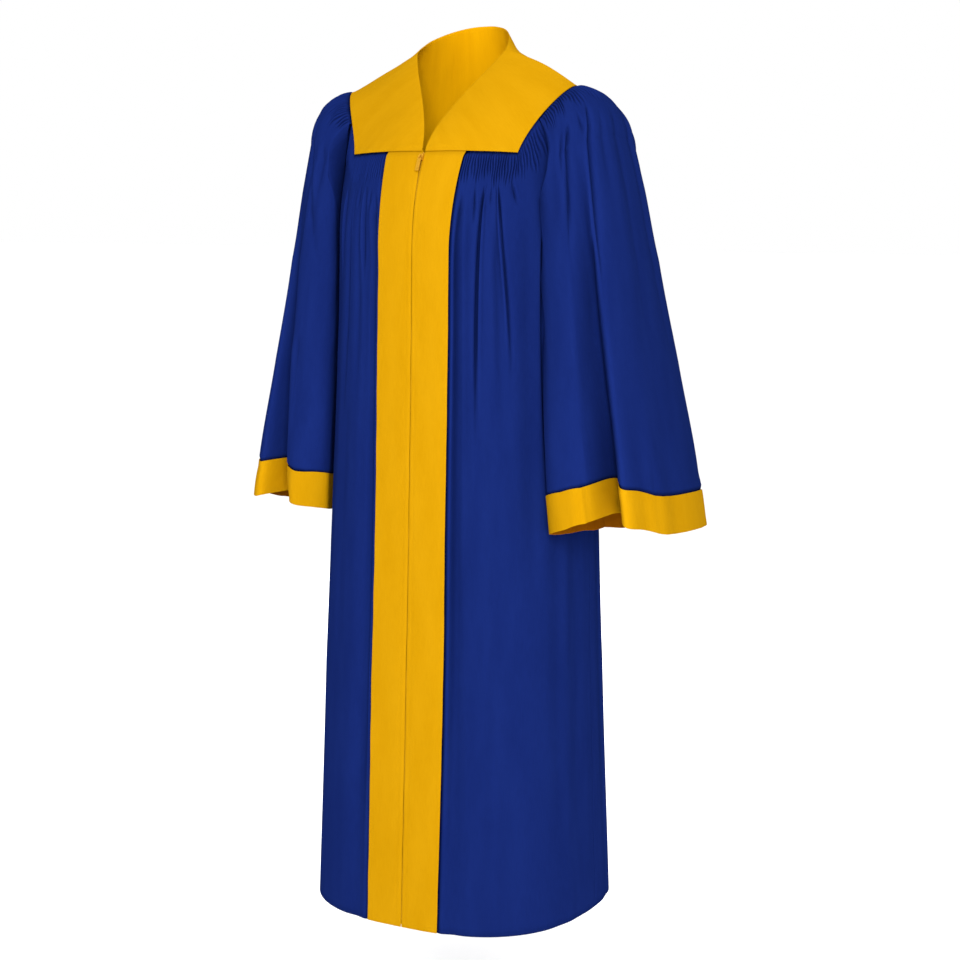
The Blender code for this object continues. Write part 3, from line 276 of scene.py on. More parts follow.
def two_tone(tree, factor, low, high):
    """Colour from the factor, between two stops of position and colour."""
    ramp = tree.nodes.new("ShaderNodeValToRGB")
    for stop, (position, colour) in zip(ramp.color_ramp.elements, (low, high)):
        stop.position = position
        stop.color = colour
    tree.links.new(factor, ramp.inputs["Fac"])
    return ramp.outputs["Color"]


def woven(name, colour, deep, rough, sheen, sheen_tint):
    """Cloth finish on the piece's own UV in metres: a plain weave, the product of two sines one
    thread apart, soft slubs along the threads, a slow change of tone, and the painted shade and
    highlight of the folds and seams."""
    finish = bpy.data.materials.new(name)
    finish.use_nodes = True
    tree = finish.node_tree
    shader = tree.nodes["Principled BSDF"]
    for socket, value in (("Roughness", rough), ("Specular IOR Level", 0.0), ("Sheen Weight", sheen),
                          ("Sheen Roughness", SHEEN_ROUGH), ("Sheen Tint", sheen_tint)):
        shader.inputs[socket].default_value = value

    def node(kind, **values):
        """New node with the given input values and properties."""
        made = tree.nodes.new(kind)
        for key, value in values.items():
            if key in made.inputs:
                made.inputs[key].default_value = value
            else:
                setattr(made, key, value)
        return made

    def reckoned(operation, first, second):
        """Result of a math node on two values, each a socket or a number."""
        made = node("ShaderNodeMath", operation=operation)
        for slot, value in zip(made.inputs, (first, second)):
            if isinstance(value, float):
                slot.default_value = value
            else:
                tree.links.new(value, slot)
        return made.outputs[0]

    def noise(cells, detail, rough):
        """Noise with the given cells a metre across and along the threads."""
        spread = node("ShaderNodeMapping", Scale=cells)
        cloud = node("ShaderNodeTexNoise", Scale=1.0, Detail=detail, Roughness=rough)
        tree.links.new(place, spread.inputs["Vector"])
        tree.links.new(spread.outputs["Vector"], cloud.inputs["Vector"])
        return cloud.outputs["Fac"]

    place = node("ShaderNodeUVMap", uv_map="cloth").outputs["UV"]
    parts = node("ShaderNodeSeparateXYZ")
    tree.links.new(place, parts.inputs[0])
    weave = reckoned("MULTIPLY", *(reckoned("SINE", reckoned("MULTIPLY", part, 2 * math.pi / THREAD), 0.0)
                                   for part in parts.outputs[:2]))
    slub, tone = noise(SLUBS, 2.0, 0.6), noise(TONES, 3.0, 0.5)
    mixed = reckoned("ADD", reckoned("MULTIPLY", slub, SLUB_TONE),
                     reckoned("MULTIPLY", tone, 1 - SLUB_TONE))
    # The base colour is scaled by the painted shade and highlight stored on each point.
    shade = node("ShaderNodeAttribute", attribute_name="painted_shade_and_highlight")
    shaded = node("ShaderNodeHueSaturation")
    tree.links.new(two_tone(tree, mixed, (TONE_LOW, deep), (TONE_HIGH, colour)), shaded.inputs["Color"])
    tree.links.new(shade.outputs["Fac"], shaded.inputs["Value"])
    tree.links.new(shaded.outputs["Color"], shader.inputs["Base Color"])

    bump = node("ShaderNodeBump", Strength=RELIEF, Distance=THREAD_RISE)
    tree.links.new(reckoned("ADD", weave, reckoned("MULTIPLY", slub, SLUB_RISE)), bump.inputs["Height"])
    tree.links.new(bump.outputs["Normal"], shader.inputs["Normal"])
    return finish


GOLD_SHEEN = (1.0, 0.72, 0.10, 1.0)
# Lighter copy of the gold for the yoke's inner face: painted light inside the neck.
GOLD_FACING_PAINTED_LIGHT = (0.590, 0.285, 0.0012, 1.0)
GOLD_FACING_PAINTED_LIGHT_DEEP = (0.540, 0.252, 0.0008, 1.0)
gold_cloth = woven("gold_twill", GOLD, GOLD_DEEP, 0.62, 0.02, GOLD_SHEEN)
gold_facing_painted_light = woven("gold_neck_facing_painted_light", GOLD_FACING_PAINTED_LIGHT, GOLD_FACING_PAINTED_LIGHT_DEEP, 0.62, 0.02, GOLD_SHEEN)


def dented(points, uv, depth):
    """Move points along their normal by slow waves over the cloth: three sines of its UV."""
    u, v = uv[..., 0], uv[..., 1]
    waves = (np.sin(u * 41 + 1.3 * np.sin(v * 23)) + np.sin(v * 57 + 1.7 * np.sin(u * 31) + 1.0)
             + np.sin((u + v) * 83 + 2.0)) / 3
    return points + outward(points) * (waves * depth)[..., None]


YOKE_DENT = 0.0004        # depth of the slow waves over its cloth
YOKE_ROWS = 44
YOKE_RELAX = 160          # rounds of relaxing
YOKE_RELAX_STEP = 0.9
YOKE_START = 0.004        # the fronts start this far from the front centre, as q
LOWER_COLUMNS = 60        # along a straight lower run, and along a slanted run
SLANT_COLUMNS = 50
YOKE_SEAM = 0.0004        # half the seam's groove on the shoulder line, as q
YOKE_DEPTH = 0.16         # of the cloth from neck to edge, for its UV
YOKE_GIRTH = 0.62         # of the cloth round the half yoke, for its UV


def relaxed(points, weight):
    """Points moved, over and over, by the weight towards the middle of their neighbours in the
    row, which takes the kink out of the cloth above a corner."""
    for _ in range(YOKE_RELAX):
        middle = (points[:, :-2] + points[:, 2:]) / 2
        points[:, 1:-1] += YOKE_RELAX_STEP * weight * (middle - points[:, 1:-1])
    return points


def yoke_grid(q, right):
    """Grid of the yoke over the places q. Where right is 1 the cloth sinks by a parabola from neck
    to edge, strongest on the shoulder."""
    r = np.linspace(0, 1, YOKE_ROWS)
    qq, rr = np.meshgrid(q, r)
    half = one_half(qq)
    points = yoke_point(half, rr)
    from_edges = 4 * rr * (1 - rr)
    points[..., 2] -= right * YOKE_SINK * from_edges * bell(half, Q_TIP, SHOULDER_SPAN)
    points[..., 0] *= np.where(qq > 1, -1, 1)
    points = relaxed(points, from_edges[:, 1:-1, None])
    uv = np.stack([qq * YOKE_GIRTH, -rr * YOKE_DEPTH], -1)
    return full_grid(dented(points, uv, YOKE_DENT), uv)


PRESSED_EDGE = 0.00045
SHARP_EDGE = math.radians(55)


def rounded(piece):
    """Round the cut edges of a cloth wall, as a turned and pressed edge is."""
    edge = piece.modifiers.new("pressed_edge", "BEVEL")
    edge.width = PRESSED_EDGE
    edge.segments = 2
    edge.limit_method = "ANGLE"
    edge.angle_limit = SHARP_EDGE
    return piece


def fixed(piece, node):
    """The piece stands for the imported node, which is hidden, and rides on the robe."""
    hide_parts(node)
    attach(piece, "robe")


front_places = np.unique(np.concatenate([np.linspace(YOKE_START, Q_CORNER, LOWER_COLUMNS),
                                         np.linspace(Q_CORNER, Q_TIP - YOKE_SEAM, SLANT_COLUMNS)]))
for side, mirror in (("left", False), ("right", True)):
    yoke_front = rounded(cloth_piece("gold_yoke_front_" + side, [yoke_grid(front_places, mirror)],
                                     gold_cloth, YOKE_WALL, mirror, inside=gold_facing_painted_light))
    fixed(yoke_front, "yoke_front_" + side)

back_half = np.unique(np.concatenate([np.linspace(Q_TIP + YOKE_SEAM, Q_BACK_CORNER, SLANT_COLUMNS),
                                      np.linspace(Q_BACK_CORNER, 1, LOWER_COLUMNS)]))
back_places = np.concatenate([back_half, 2 - back_half[-2::-1]])
yoke_back = rounded(cloth_piece("gold_yoke_back", [yoke_grid(back_places, back_places > 1)],
                                gold_cloth, YOKE_WALL, inside=gold_facing_painted_light))
fixed(yoke_back, "yoke_back")


# ================================================================ body and front bands
# Two gold bands run from the yoke to the hem over the closed zip. They lie on the body's own
# shape, which the blue fronts and the back continue: rounded sections that widen to the hem.

CLOTH_WALL = 0.0012
HEM_Z = -1.340
BAND_WIDTH = 0.0625       # one front band from the waist down
BAND_CHEST = 0.065        # share by which it is wider on the chest
BAND_CHEST_Z = (-0.500, -0.200)   # it widens from the first height up to the second
BAND_TOP_WIDTH = 0.067    # one front band at the yoke
BODY_SHARE = 0.38         # of the yoke's slanted edge, from its corner, sewn to the body
BODY_MIDDLE_Y = 0.030     # where the body is widest
BODY_PUFF = 0.150         # height over which the body swells out of its top seam
PUFF_POWER = 0.80         # below 1 the cloth leaves the seam more level
CORNER_BLEND = 0.03       # beyond the yoke's corners it does so evenly, blended over this
BAND_CALM = 0.02          # the broad folds set in over this, from the band

BODY_SECTIONS = (
    # z       half_width  front    back    fullness
    (-0.080,  0.198,     -0.150,   0.160,  2.4),
    (-0.300,  0.200,     -0.156,   0.162,  2.4),
    (-0.450,  0.203,     -0.160,   0.164,  2.5),
    (-0.720,  0.215,     -0.170,   0.168,  2.5),
    (-0.950,  0.221,     -0.181,   0.178,  2.6),
    (-1.340,  0.233,     -0.201,   0.194,  2.6),
)

# Marks along the hem of one half of the body, from front centre 0 to back centre 1
MARK_CORNER = 0.262
MARK_SLEEVE_FRONT = 0.330
MARK_SIDE = 0.525
BACK_SCALE = MARK_SIDE / (1 - MARK_SIDE)
MARK_SLEEVE_BACK = MARK_SIDE + (MARK_SIDE - MARK_SLEEVE_FRONT) / BACK_SCALE
MARK_BACK_CORNER = MARK_SIDE + (MARK_SIDE - MARK_CORNER) / BACK_SCALE

# Armhole seam on the body, as place along the half hem and height: the upright part below the
# yoke, then the underarm curve to the side. Behind it is the same, mirrored about the side.
ARM_UPRIGHT = ((0.330, -0.0955), (0.356, -0.122), (0.381, -0.150),
               (0.396, -0.185), (0.402, -0.225), (0.407, -0.268))
UNDERARM = ((0.407, -0.268), (0.415, -0.292), (0.433, -0.314),
            (0.458, -0.331), (0.490, -0.342), (0.525, -0.345))
UPRIGHT_SHARE = 0.30      # of half the armhole seam

# Broad folds of the body: place along the half hem, depth, half width, top, bottom, drift
BODY_FOLDS = (
    # place  depth  width  top     bottom  drift
    (0.118,  0.008, 0.020, -0.190, -1.340, 0.006),
    (0.160,  0.004, 0.013, -0.175, -0.620, -0.012),
    (0.214,  0.004, 0.013, -0.190, -0.620, 0.052),
    (0.305,  0.005, 0.026, -0.190, -0.900, 0.000),
    (0.375,  0.004, 0.026, -0.300, -1.340, 0.006),
    (0.450,  0.004, 0.030, -0.380, -1.340, 0.000),
    (0.600,  0.006, 0.025, -0.380, -1.340, 0.000),
    (0.680,  0.008, 0.022, -0.320, -1.340, -0.006),
    (0.745,  0.009, 0.020, -0.200, -1.300, 0.004),
    (0.800,  0.007, 0.016, -0.180, -1.100, -0.006),
    (0.850,  0.008, 0.020, -0.190, -1.340, 0.003),
    (0.905,  0.006, 0.015, -0.180, -0.950, 0.006),
    (0.960,  0.009, 0.020, -0.190, -1.340, -0.004),
)


def smooth_through(points, t):
    """Catmull-Rom curve: between each two points a cubic whose slopes come from the next ones."""
    p = np.array(points, float)
    p = np.vstack([2 * p[0] - p[1], p, 2 * p[-1] - p[-2]])
    spans = len(p) - 3
    x = np.clip(np.asarray(t, float), 0, 1) * spans
    i = np.minimum(x.astype(int), spans - 1)
    f = (x - i)[..., None]
    a, b, c, d = p[i], p[i + 1], p[i + 2], p[i + 3]
    return 0.5 * (2 * b + (c - a) * f + (2 * a - 5 * b + 4 * c - d) * f ** 2
                  + (3 * b - 3 * c + d - a) * f ** 3)


def column(table, z, index):
    """One column of a section table, read smoothly at the heights z."""
    rows = np.array(table, float)[::-1]
    place = np.interp(z, rows[:, 0], np.arange(len(rows)) / (len(rows) - 1))
    return smooth_through(rows[:, [index]], place)[..., 0]


def hem_curve():
    """Share of the hem's length against the angle round its section, and its whole length."""
    _, half, front, back, full = BODY_SECTIONS[-1]
    angle = np.linspace(-math.pi / 2, math.pi / 2, 721)
    reach = np.where(angle < 0, BODY_MIDDLE_Y - front, back - BODY_MIDDLE_Y)
    x = half * np.abs(np.cos(angle)) ** (2 / full)
    y = np.sign(np.sin(angle)) * reach * np.abs(np.sin(angle)) ** (2 / full)
    length = np.concatenate([[0], np.cumsum(np.hypot(np.diff(x), np.diff(y)))])
    return length / length[-1], angle, length[-1]


HEM_SHARE, HEM_ANGLE, HALF_HEM = hem_curve()
HEM_REACH = BODY_SECTIONS[-1][1] + (BODY_SECTIONS[-1][3] - BODY_SECTIONS[-1][2]) / 2
MARK_BAND = BAND_WIDTH / HALF_HEM
Q_SEAM_FRONT = Q_CORNER + BODY_SHARE * (Q_TIP - Q_CORNER)
Q_SEAM_BACK = Q_BACK_CORNER - BODY_SHARE * (Q_BACK_CORNER - Q_TIP)
ARM_END_Z = ARM_UPRIGHT[-1][1]


def body_section(s, z):
    """Superellipse round (0, BODY_MIDDLE_Y) at height z, at the place s along the half hem; near
    the front the place is stretched so that the band keeps its width."""
    half, front, back, full = (column(BODY_SECTIONS, z, k) for k in (1, 2, 3, 4))
    widen = HEM_REACH / (half + (back - front) / 2) - 1
    near_band = 1 - ease((s - MARK_BAND) / (MARK_CORNER - MARK_BAND))
    chest = BAND_CHEST * ease((z - BAND_CHEST_Z[0]) / (BAND_CHEST_Z[1] - BAND_CHEST_Z[0]))
    angle = np.interp(s * (1 + (widen + chest) * near_band), HEM_SHARE, HEM_ANGLE)
    c, sn = np.cos(angle), np.sin(angle)
    reach = np.where(sn < 0, BODY_MIDDLE_Y - front, back - BODY_MIDDLE_Y)
    y = BODY_MIDDLE_Y + np.sign(sn) * reach * np.abs(sn) ** (2 / full)
    return np.stack([half * np.abs(c) ** (2 / full), y], -1)


def seam_share(q):
    """Share of the fall from the yoke to the hem at which the upright armhole seam ends."""
    top = yoke_edge(np.array(q))[2]
    return (top - ARM_END_Z) / (top - HEM_Z)


ARM_FRONT = seam_share(Q_SEAM_FRONT)
ARM_BACK = seam_share(Q_SEAM_BACK)


def mirrored(c):
    """Place in front that answers to a place behind the side, or the place itself."""
    return np.where(c > MARK_SIDE, MARK_SIDE - (c - MARK_SIDE) * BACK_SCALE, c)


def body_place(c, z):
    """Place along the half hem of the column c at height z: beside the armhole the columns lean
    with its upright seam, and the lean fades to nothing at the corner and at the side."""
    near = mirrored(c)
    drift = np.interp(-z, [-row[1] for row in ARM_UPRIGHT], [row[0] for row in ARM_UPRIGHT])
    before = np.clip((near - MARK_CORNER) / (MARK_SLEEVE_FRONT - MARK_CORNER), 0, 1)
    after = (MARK_SIDE - near) / (MARK_SIDE - MARK_SLEEVE_FRONT)
    lean = np.where(near <= MARK_SLEEVE_FRONT, before, after)
    place = near + (drift - MARK_SLEEVE_FRONT) * lean
    return np.where(c > MARK_SIDE, MARK_SIDE + (MARK_SIDE - place) / BACK_SCALE, place)


def under_arm(c):
    """Whether the column c starts at the underarm and not at the yoke."""
    return (c > MARK_SLEEVE_FRONT + 1e-9) & (c < MARK_SLEEVE_BACK - 1e-9)


def yoke_place(c):
    """Place q round the yoke at which the column c is sewn to it."""
    band_q = Q_CORNER * BAND_TOP_WIDTH / YOKE_CORNER[0]
    return np.interp(c, [0, MARK_BAND, MARK_CORNER, MARK_SLEEVE_FRONT,
                         MARK_SLEEVE_BACK, MARK_BACK_CORNER, 1],
                     [0, band_q, Q_CORNER, Q_SEAM_FRONT, Q_SEAM_BACK, Q_BACK_CORNER, 1])


def at_height(plan, z):
    """Points in space from their places in plan and their heights."""
    return np.concatenate([plan, z[..., None]], -1)


def body_top(c):
    """Top of the body's columns: on the yoke's edge, or on the underarm curve."""
    c = np.asarray(c, float)
    place = body_place(c, 0 * c + HEM_Z)
    z = np.interp(mirrored(place), [row[0] for row in UNDERARM], [row[1] for row in UNDERARM])
    under = at_height(body_section(place, z), z)
    return np.where(under_arm(c)[..., None], under, yoke_edge(yoke_place(c)))


FOLD_START = 0.12         # height over which a broad fold sets in, and over which it runs out
FOLD_END = 0.25
HEM_CALM = 0.65           # share of the broad folds' depth lost at the pressed hem
HEM_CALM_RUN = 0.30


def from_middle(plan):
    """Unit vectors in plan from the body's middle to the points."""
    return unit(plan - [0, BODY_MIDDLE_Y])


def broad_folds(s, z):
    """How far the broad folds press the body in: each a bell across, eased in and out down it,
    and calmed towards the hem."""
    press = np.zeros(np.broadcast(s, z).shape)
    for place, depth, width, top, bottom, drift in BODY_FOLDS:
        middle = place + drift * (top - z) / (top - HEM_Z)
        fade = ease((top - z) / FOLD_START) * ease((z - bottom) / FOLD_END + (bottom <= HEM_Z))
        fade = fade * (1 - HEM_CALM * ease((HEM_Z + HEM_CALM_RUN - z) / HEM_CALM_RUN))
        press = press + depth * fade * bell(s, middle, width)
    return press


def body_point(c, t):
    """Body's column c from its top, t = 0, to the hem, t = 1: the section at that height, moved
    by what is left of the step from the section to the top seam, less the broad folds."""
    top = body_top(c)
    begin = np.where(under_arm(c), np.where(c < MARK_SIDE, ARM_FRONT, ARM_BACK), 0.0)
    z = top[..., 2] + (HEM_Z - top[..., 2]) * np.clip((t - begin) / (1 - begin), 0, 1)
    s = body_place(c, z)
    here = body_section(s, z)
    start = body_section(body_place(c, top[..., 2]), top[..., 2])
    start = np.where(under_arm(c)[..., None], top[..., :2], start)
    slant = (ease((c - MARK_CORNER) / CORNER_BLEND + 1)
             * ease((MARK_BACK_CORNER - c) / CORNER_BLEND + 1))
    power = PUFF_POWER + (1 - PUFF_POWER) * slant
    left = 1 - np.sin(np.clip((top[..., 2] - z) / BODY_PUFF, 0, 1) * math.pi / 2) ** power
    plan = here + (top[..., :2] - start) * left[..., None]
    press = broad_folds(s, z) * np.clip(1 - left, 0, 1) * ease((s - MARK_BAND) / BAND_CALM)
    return at_height(plan - from_middle(plan) * press[..., None], z)


def falling_rows(first_step, last_step, start=0.0, end=1.0, length=1.2):
    """Shares of a length from start to end whose steps grow evenly from the first to the last."""
    count = int(round((end - start) * length * 2 / (first_step + last_step)))
    steps = np.linspace(first_step, last_step, count)
    return start + (end - start) * np.concatenate([[0], np.cumsum(steps)]) / steps.sum()


BODY_FALL = 1.195         # length of the body's cloth from the yoke to the hem
UNDER_YOKE = 0.0026       # sewn cloth leaves from below the yoke's face by this
UNDER_YOKE_RUN = 0.0080   # down to here
TUCK = 0.0045             # cloth that runs on up under the yoke
TUCK_STEP = 0.01          # share of the yoke's depth that gives the tuck its slope
UNDER_WALL = 0.0012       # and lies this far below the yoke's wall
BAND_COLUMNS = 30
BAND_DENT = 0.0006        # depth of the slow waves over the band
ZIP_LIP = 0.0006          # the band's edge rolls in over the zip by this
ZIP_LIP_WIDTH = 0.0022
STITCH_LINE = 0.0085      # of the zip's stitches, from the band's edge
STITCH_PRESS = 0.0003
STITCH_PRESS_WIDTH = 0.0014
SLIT_GAP = 0.0002         # from the band's edge to the front centre


def tucked(q):
    """Row of points under the yoke at the places q, which run on past 1 onto the other half: TUCK
    up from its edge, just below its wall, where there is room up to its neck edge."""
    half = one_half(q)
    up = np.minimum(TUCK / np.linalg.norm(yoke_edge(half) - neckline(half), axis=-1), 0.5)
    r = np.stack([1 - up - TUCK_STEP, 1 - up, 1 + 0 * up])
    points = yoke_point(np.broadcast_to(half, r.shape), r)
    points[..., 0] *= np.where(q > 1, -1, 1)
    return (points - outward(points) * (YOKE_WALL + UNDER_WALL))[1:2]


def let_in(points, t):
    """Points moved inwards near the seam, easing from UNDER_YOKE at the yoke's edge to nothing."""
    depth = UNDER_YOKE * (1 - ease(t * BODY_FALL / UNDER_YOKE_RUN))
    return points - outward(points) * depth[..., None]


band_columns = np.linspace(SLIT_GAP / HALF_HEM, MARK_BAND - SLIT_GAP / HALF_HEM, BAND_COLUMNS)
band_c, band_t = np.meshgrid(band_columns, falling_rows(0.003, 0.009))
band_points = body_point(band_c, band_t)
band_uv = np.stack([band_c * HALF_HEM, -band_t * BODY_FALL], -1)
band_points = dented(band_points, band_uv, BAND_DENT)
from_slit = band_c * HALF_HEM
pressed = (ZIP_LIP * bell(from_slit, 0, ZIP_LIP_WIDTH)
           + STITCH_PRESS * bell(from_slit, STITCH_LINE, STITCH_PRESS_WIDTH))
band_points = let_in(band_points - outward(band_points) * pressed[..., None], band_t)
band_points = np.concatenate([tucked(yoke_place(band_columns)), band_points])
band_uv = np.concatenate([band_uv[:1] + [0, TUCK], band_uv])
for side, mirror in (("left", False), ("right", True)):
    band = rounded(cloth_piece("gold_band_" + side, [full_grid(band_points, band_uv)],
                               gold_cloth, CLOTH_WALL, mirror))
    fixed(band, "front_band_" + side)


# ================================================================ blue fronts
# Each front is a width of blue polyester, gathered on two rows of stitches into the yoke's
# lower edge. The gathers open into long soft folds, deepest beside the gold band.

BLUE = (0.0047, 0.0124, 0.0860, 1.0)
BLUE_DEEP = (0.0039, 0.0104, 0.0750, 1.0)
BLUE_SHEEN = (0.20, 0.40, 1.0, 1.0)
blue_cloth = woven("blue_polyester", BLUE, BLUE_DEEP, 0.72, 0.006, BLUE_SHEEN)

RIB_HEIGHT = 0.0032       # of the gathers, from valley to top, where they are deepest
RIB_CALM = 0.016          # strip beside the yoke where the ribs are still low
RIB_LOW = 0.14            # their height at the seam, as a share
RIB_LENGTH = (0.016, 0.042)       # they run from the seam this far, and fade over the next value
RIB_FADE = 0.020
RIB_STRENGTH = (0.45, 1.30)       # of their height
RIB_SHIFT = 0.22          # sideways, in gathers
RIB_SWAY = 0.12           # and back and forth down them, with RIB_SWAYS waves in 2 pi metres
RIB_SWAYS = 190
RIB_SHARP = 1.4           # power that sharpens the valleys
RIB_MIDDLE = 0.55         # of the height, taken as the cloth's own level
BESIDE_BAND = 0.0026      # the front lies this much lower beside the band, and under it
BESIDE_BAND_WIDTH = 0.0120
UNDER_BAND = 0.0040       # and runs on this far under it
FULLNESS = 1.20           # flat cloth for each length of gathered cloth, at the hem
COLUMNS_PER_WAVE = 8
FRONT_UNDER_COLUMNS = 34  # under the arm
NEXT_GRID = 0.002         # share of the fall from one grid of the cloth to the next
FRONT_GATHERS = ((MARK_BAND, MARK_CORNER, 21), (MARK_CORNER, MARK_SLEEVE_FRONT, 11))
GATHER_END = 0.075        # share of the fall down to which the columns are fine
ARM_CALM = 0.012          # the cloth is smooth this near to the armhole seam, as a place
ARM_CALM_PAST = 0.02      # and this far below its upright part, as a share of the fall
ARM_CALM_BELOW = 0.03     # and grows out of the underarm over this share

CREASE_START = 0.035      # height over which a crease sets in
CREASE_FULL = 0.45        # share of its length from which it fades out
CREASE_SPREAD = (0.75, 1.70)      # it widens by this, from its top to its end
CREASE_BOTTOM = 0.4       # roundness of its bottom, in its half widths
RIDGE_FROM = 2.1          # the ridge's place and width, in the same
RIDGE_WIDTH = 1.5

# Creases on a front: place along the half hem and height at the top and the lower end, sideways
# bow, half width, depth, and the height of the ridge beside it (to the side if positive)
NEAR_FRONT_CREASES = (
    # top_s  top_z   end_s   end_z   bow     width   depth   ridge
    (0.164, -0.190,  0.154, -0.600, -0.004,  0.0030, 0.0072, 0.0036),
    (0.174, -0.186,  0.160, -0.232,  0.000,  0.0026, 0.0034, 0.0010),
    (0.210, -0.188,  0.260, -0.500,  0.014,  0.0030, 0.0074, -0.0036),
    (0.202, -0.186,  0.216, -0.230,  0.000,  0.0026, 0.0032, -0.0010),
    (0.246, -0.178,  0.276, -0.228,  0.000,  0.0034, 0.0058, 0.0014),
    (0.136, -0.188,  0.139, -0.262,  0.001,  0.0034, 0.0048, 0.0012),
    (0.187, -0.186,  0.187, -0.232,  0.001,  0.0030, 0.0030, 0.0010),
    (0.350, -0.262,  0.362, -0.700,  0.000,  0.0060, 0.0130, -0.0020),
    (0.104, -0.200,  0.108, -1.330,  0.003,  0.0070, 0.0060, 0.0030),
    (0.188, -0.560,  0.214, -1.250,  0.004,  0.0240, 0.0018, 0.0009),
)
FAR_FRONT_CREASES = (
    # top_s  top_z   end_s   end_z   bow     width   depth   ridge
    (0.146, -0.190,  0.139, -0.360, -0.002,  0.0040, 0.0072, 0.0026),
    (0.122, -0.190,  0.126, -0.236,  0.000,  0.0032, 0.0030, 0.0010),
    (0.172, -0.188,  0.175, -0.236,  0.000,  0.0032, 0.0032, 0.0012),
    (0.206, -0.190,  0.212, -0.300,  0.003,  0.0040, 0.0052, -0.0020),
    (0.266, -0.195,  0.320, -0.420, -0.016,  0.0044, 0.0100, 0.0032),
    (0.104, -0.200,  0.108, -1.330,  0.003,  0.0070, 0.0060, 0.0030),
    (0.205, -0.520,  0.222, -1.250,  0.004,  0.0220, 0.0018, 0.0009),
)


def creases(place, z, rows):
    """Height of the creases along bowed lines: across, a trough that falls off from a narrow
    bottom by the exponential of a hyperbola, and a bell-shaped ridge beside it; down, eased in
    over CREASE_START and out from CREASE_FULL of its length."""
    height = np.zeros(np.broadcast(place, z).shape)
    for top, top_z, end, end_z, bow, width, depth, ridge in rows:
        along = (top_z - z) / (top_z - end_z)
        middle = top + (end - top) * along + bow * 4 * along * (1 - along)
        x = (place - middle) / (width * np.interp(along, (0, 1), CREASE_SPREAD))
        trough = np.exp(CREASE_BOTTOM - np.hypot(x, CREASE_BOTTOM))
        shape = abs(ridge) * bell(x, RIDGE_FROM * np.sign(ridge), RIDGE_WIDTH) - depth * trough
        height += shape * ease((top_z - z) / CREASE_START) * (
            1 - ease((along - CREASE_FULL) / (1 - CREASE_FULL)))
    return height


def ribs(phase, below, seed):
    """Height of the gathers, phase counting them across: round tops between sharp valleys, low
    at the seam, full past the calm strip, and each with its own strength and length."""
    rng = np.random.default_rng(seed)
    count = int(phase.max()) + 3
    strength = rng.uniform(*RIB_STRENGTH, count)
    length = rng.uniform(*RIB_LENGTH, count)
    shift = rng.uniform(-RIB_SHIFT, RIB_SHIFT, count)
    marks = np.arange(count) + 0.5
    strong, far = np.interp(phase, marks, strength), np.interp(phase, marks, length)
    wander = phase + np.interp(phase, marks, shift) + RIB_SWAY * np.sin(below * RIB_SWAYS + phase)
    top = np.abs(np.sin(np.pi * wander)) ** RIB_SHARP - RIB_MIDDLE
    rise = RIB_LOW + (1 - RIB_LOW) * ease(below / RIB_CALM)
    return RIB_HEIGHT * strong * top * rise * (1 - ease((below - far) / RIB_FADE))


def wave_phase(c, gathers):
    """Number of gathers from the first mark to the column c; gathers lists (from, to, count)."""
    marks = [gathers[0][0]] + [end for _, end, _ in gathers]
    return np.interp(c, marks, np.cumsum([0] + [count for _, _, count in gathers]))


def gather_columns(gathers, per_wave):
    """Columns with the same number for each gather."""
    columns = [np.linspace(a, b, count * per_wave + 1) for a, b, count in gathers]
    return np.unique(np.round(np.concatenate(columns), 9))


def near_arm(c, t):
    """Calm of the cloth beside the armhole: 1 away from its seam, easing to 0 on it."""
    near = mirrored(c)
    arm = np.where(c > MARK_SIDE, ARM_BACK, ARM_FRONT)
    beside = ease(np.abs(near - MARK_SLEEVE_FRONT) / ARM_CALM)
    beside = np.where(t < arm + ARM_CALM_PAST, beside, 1.0)
    below = np.where(near > MARK_SLEEVE_FRONT, ease((t - arm) / ARM_CALM_BELOW), 1.0)
    return np.minimum(beside, below)


def dressed_body(c, t, gathers, seed, rows):
    """Body's cloth at the columns c, which run on past 1 onto the other half, and the shares t:
    its form, moved along its normal by the gathers and the creases."""
    half = one_half(c)
    points = body_point(half, t)
    z = points[..., 2]
    s = body_place(half, z)
    s = np.where(c > 1, 2 - s, s)
    points[..., 0] *= np.where(c > 1, -1, 1)
    height = ribs(wave_phase(c, gathers), t * BODY_FALL, seed) * ~under_arm(half)
    height = (height + creases(s, z, rows)) * near_arm(half, t)
    height = height - BESIDE_BAND * (1 - ease((s - MARK_BAND) / BESIDE_BAND_WIDTH))
    return points + outward(points) * height[..., None]


def painted_shade_beside_band(c):
    """Painted shade of the blue cloth where it runs under the gold band."""
    return painted_seam_shade((one_half(c) - MARK_BAND) * HALF_HEM)


def body_uv(c, t):
    """Flat place of the gathered cloth: FULLNESS times the hem's length across, the fall down."""
    return np.stack([c * HALF_HEM * FULLNESS, -t * BODY_FALL], -1)


def gathered_grid(columns, t, gathers, seed, rows):
    """Fine grid of the gathers from the row tucked under the yoke."""
    c, t = np.meshgrid(columns, t)
    q = np.where(columns > 1, 2 - yoke_place(2 - columns), yoke_place(columns))
    points = let_in(dressed_body(c, t, gathers, seed, rows), t)
    # Painted shade beside the gold band and under the yoke's edge.
    uv, shade = body_uv(c, t), painted_shade_beside_band(c) * painted_seam_shade(t * BODY_FALL)
    return full_grid(np.concatenate([tucked(q), points]), np.concatenate([uv[:1] + [0, TUCK], uv]),
                     np.concatenate([shade[:1], shade]))


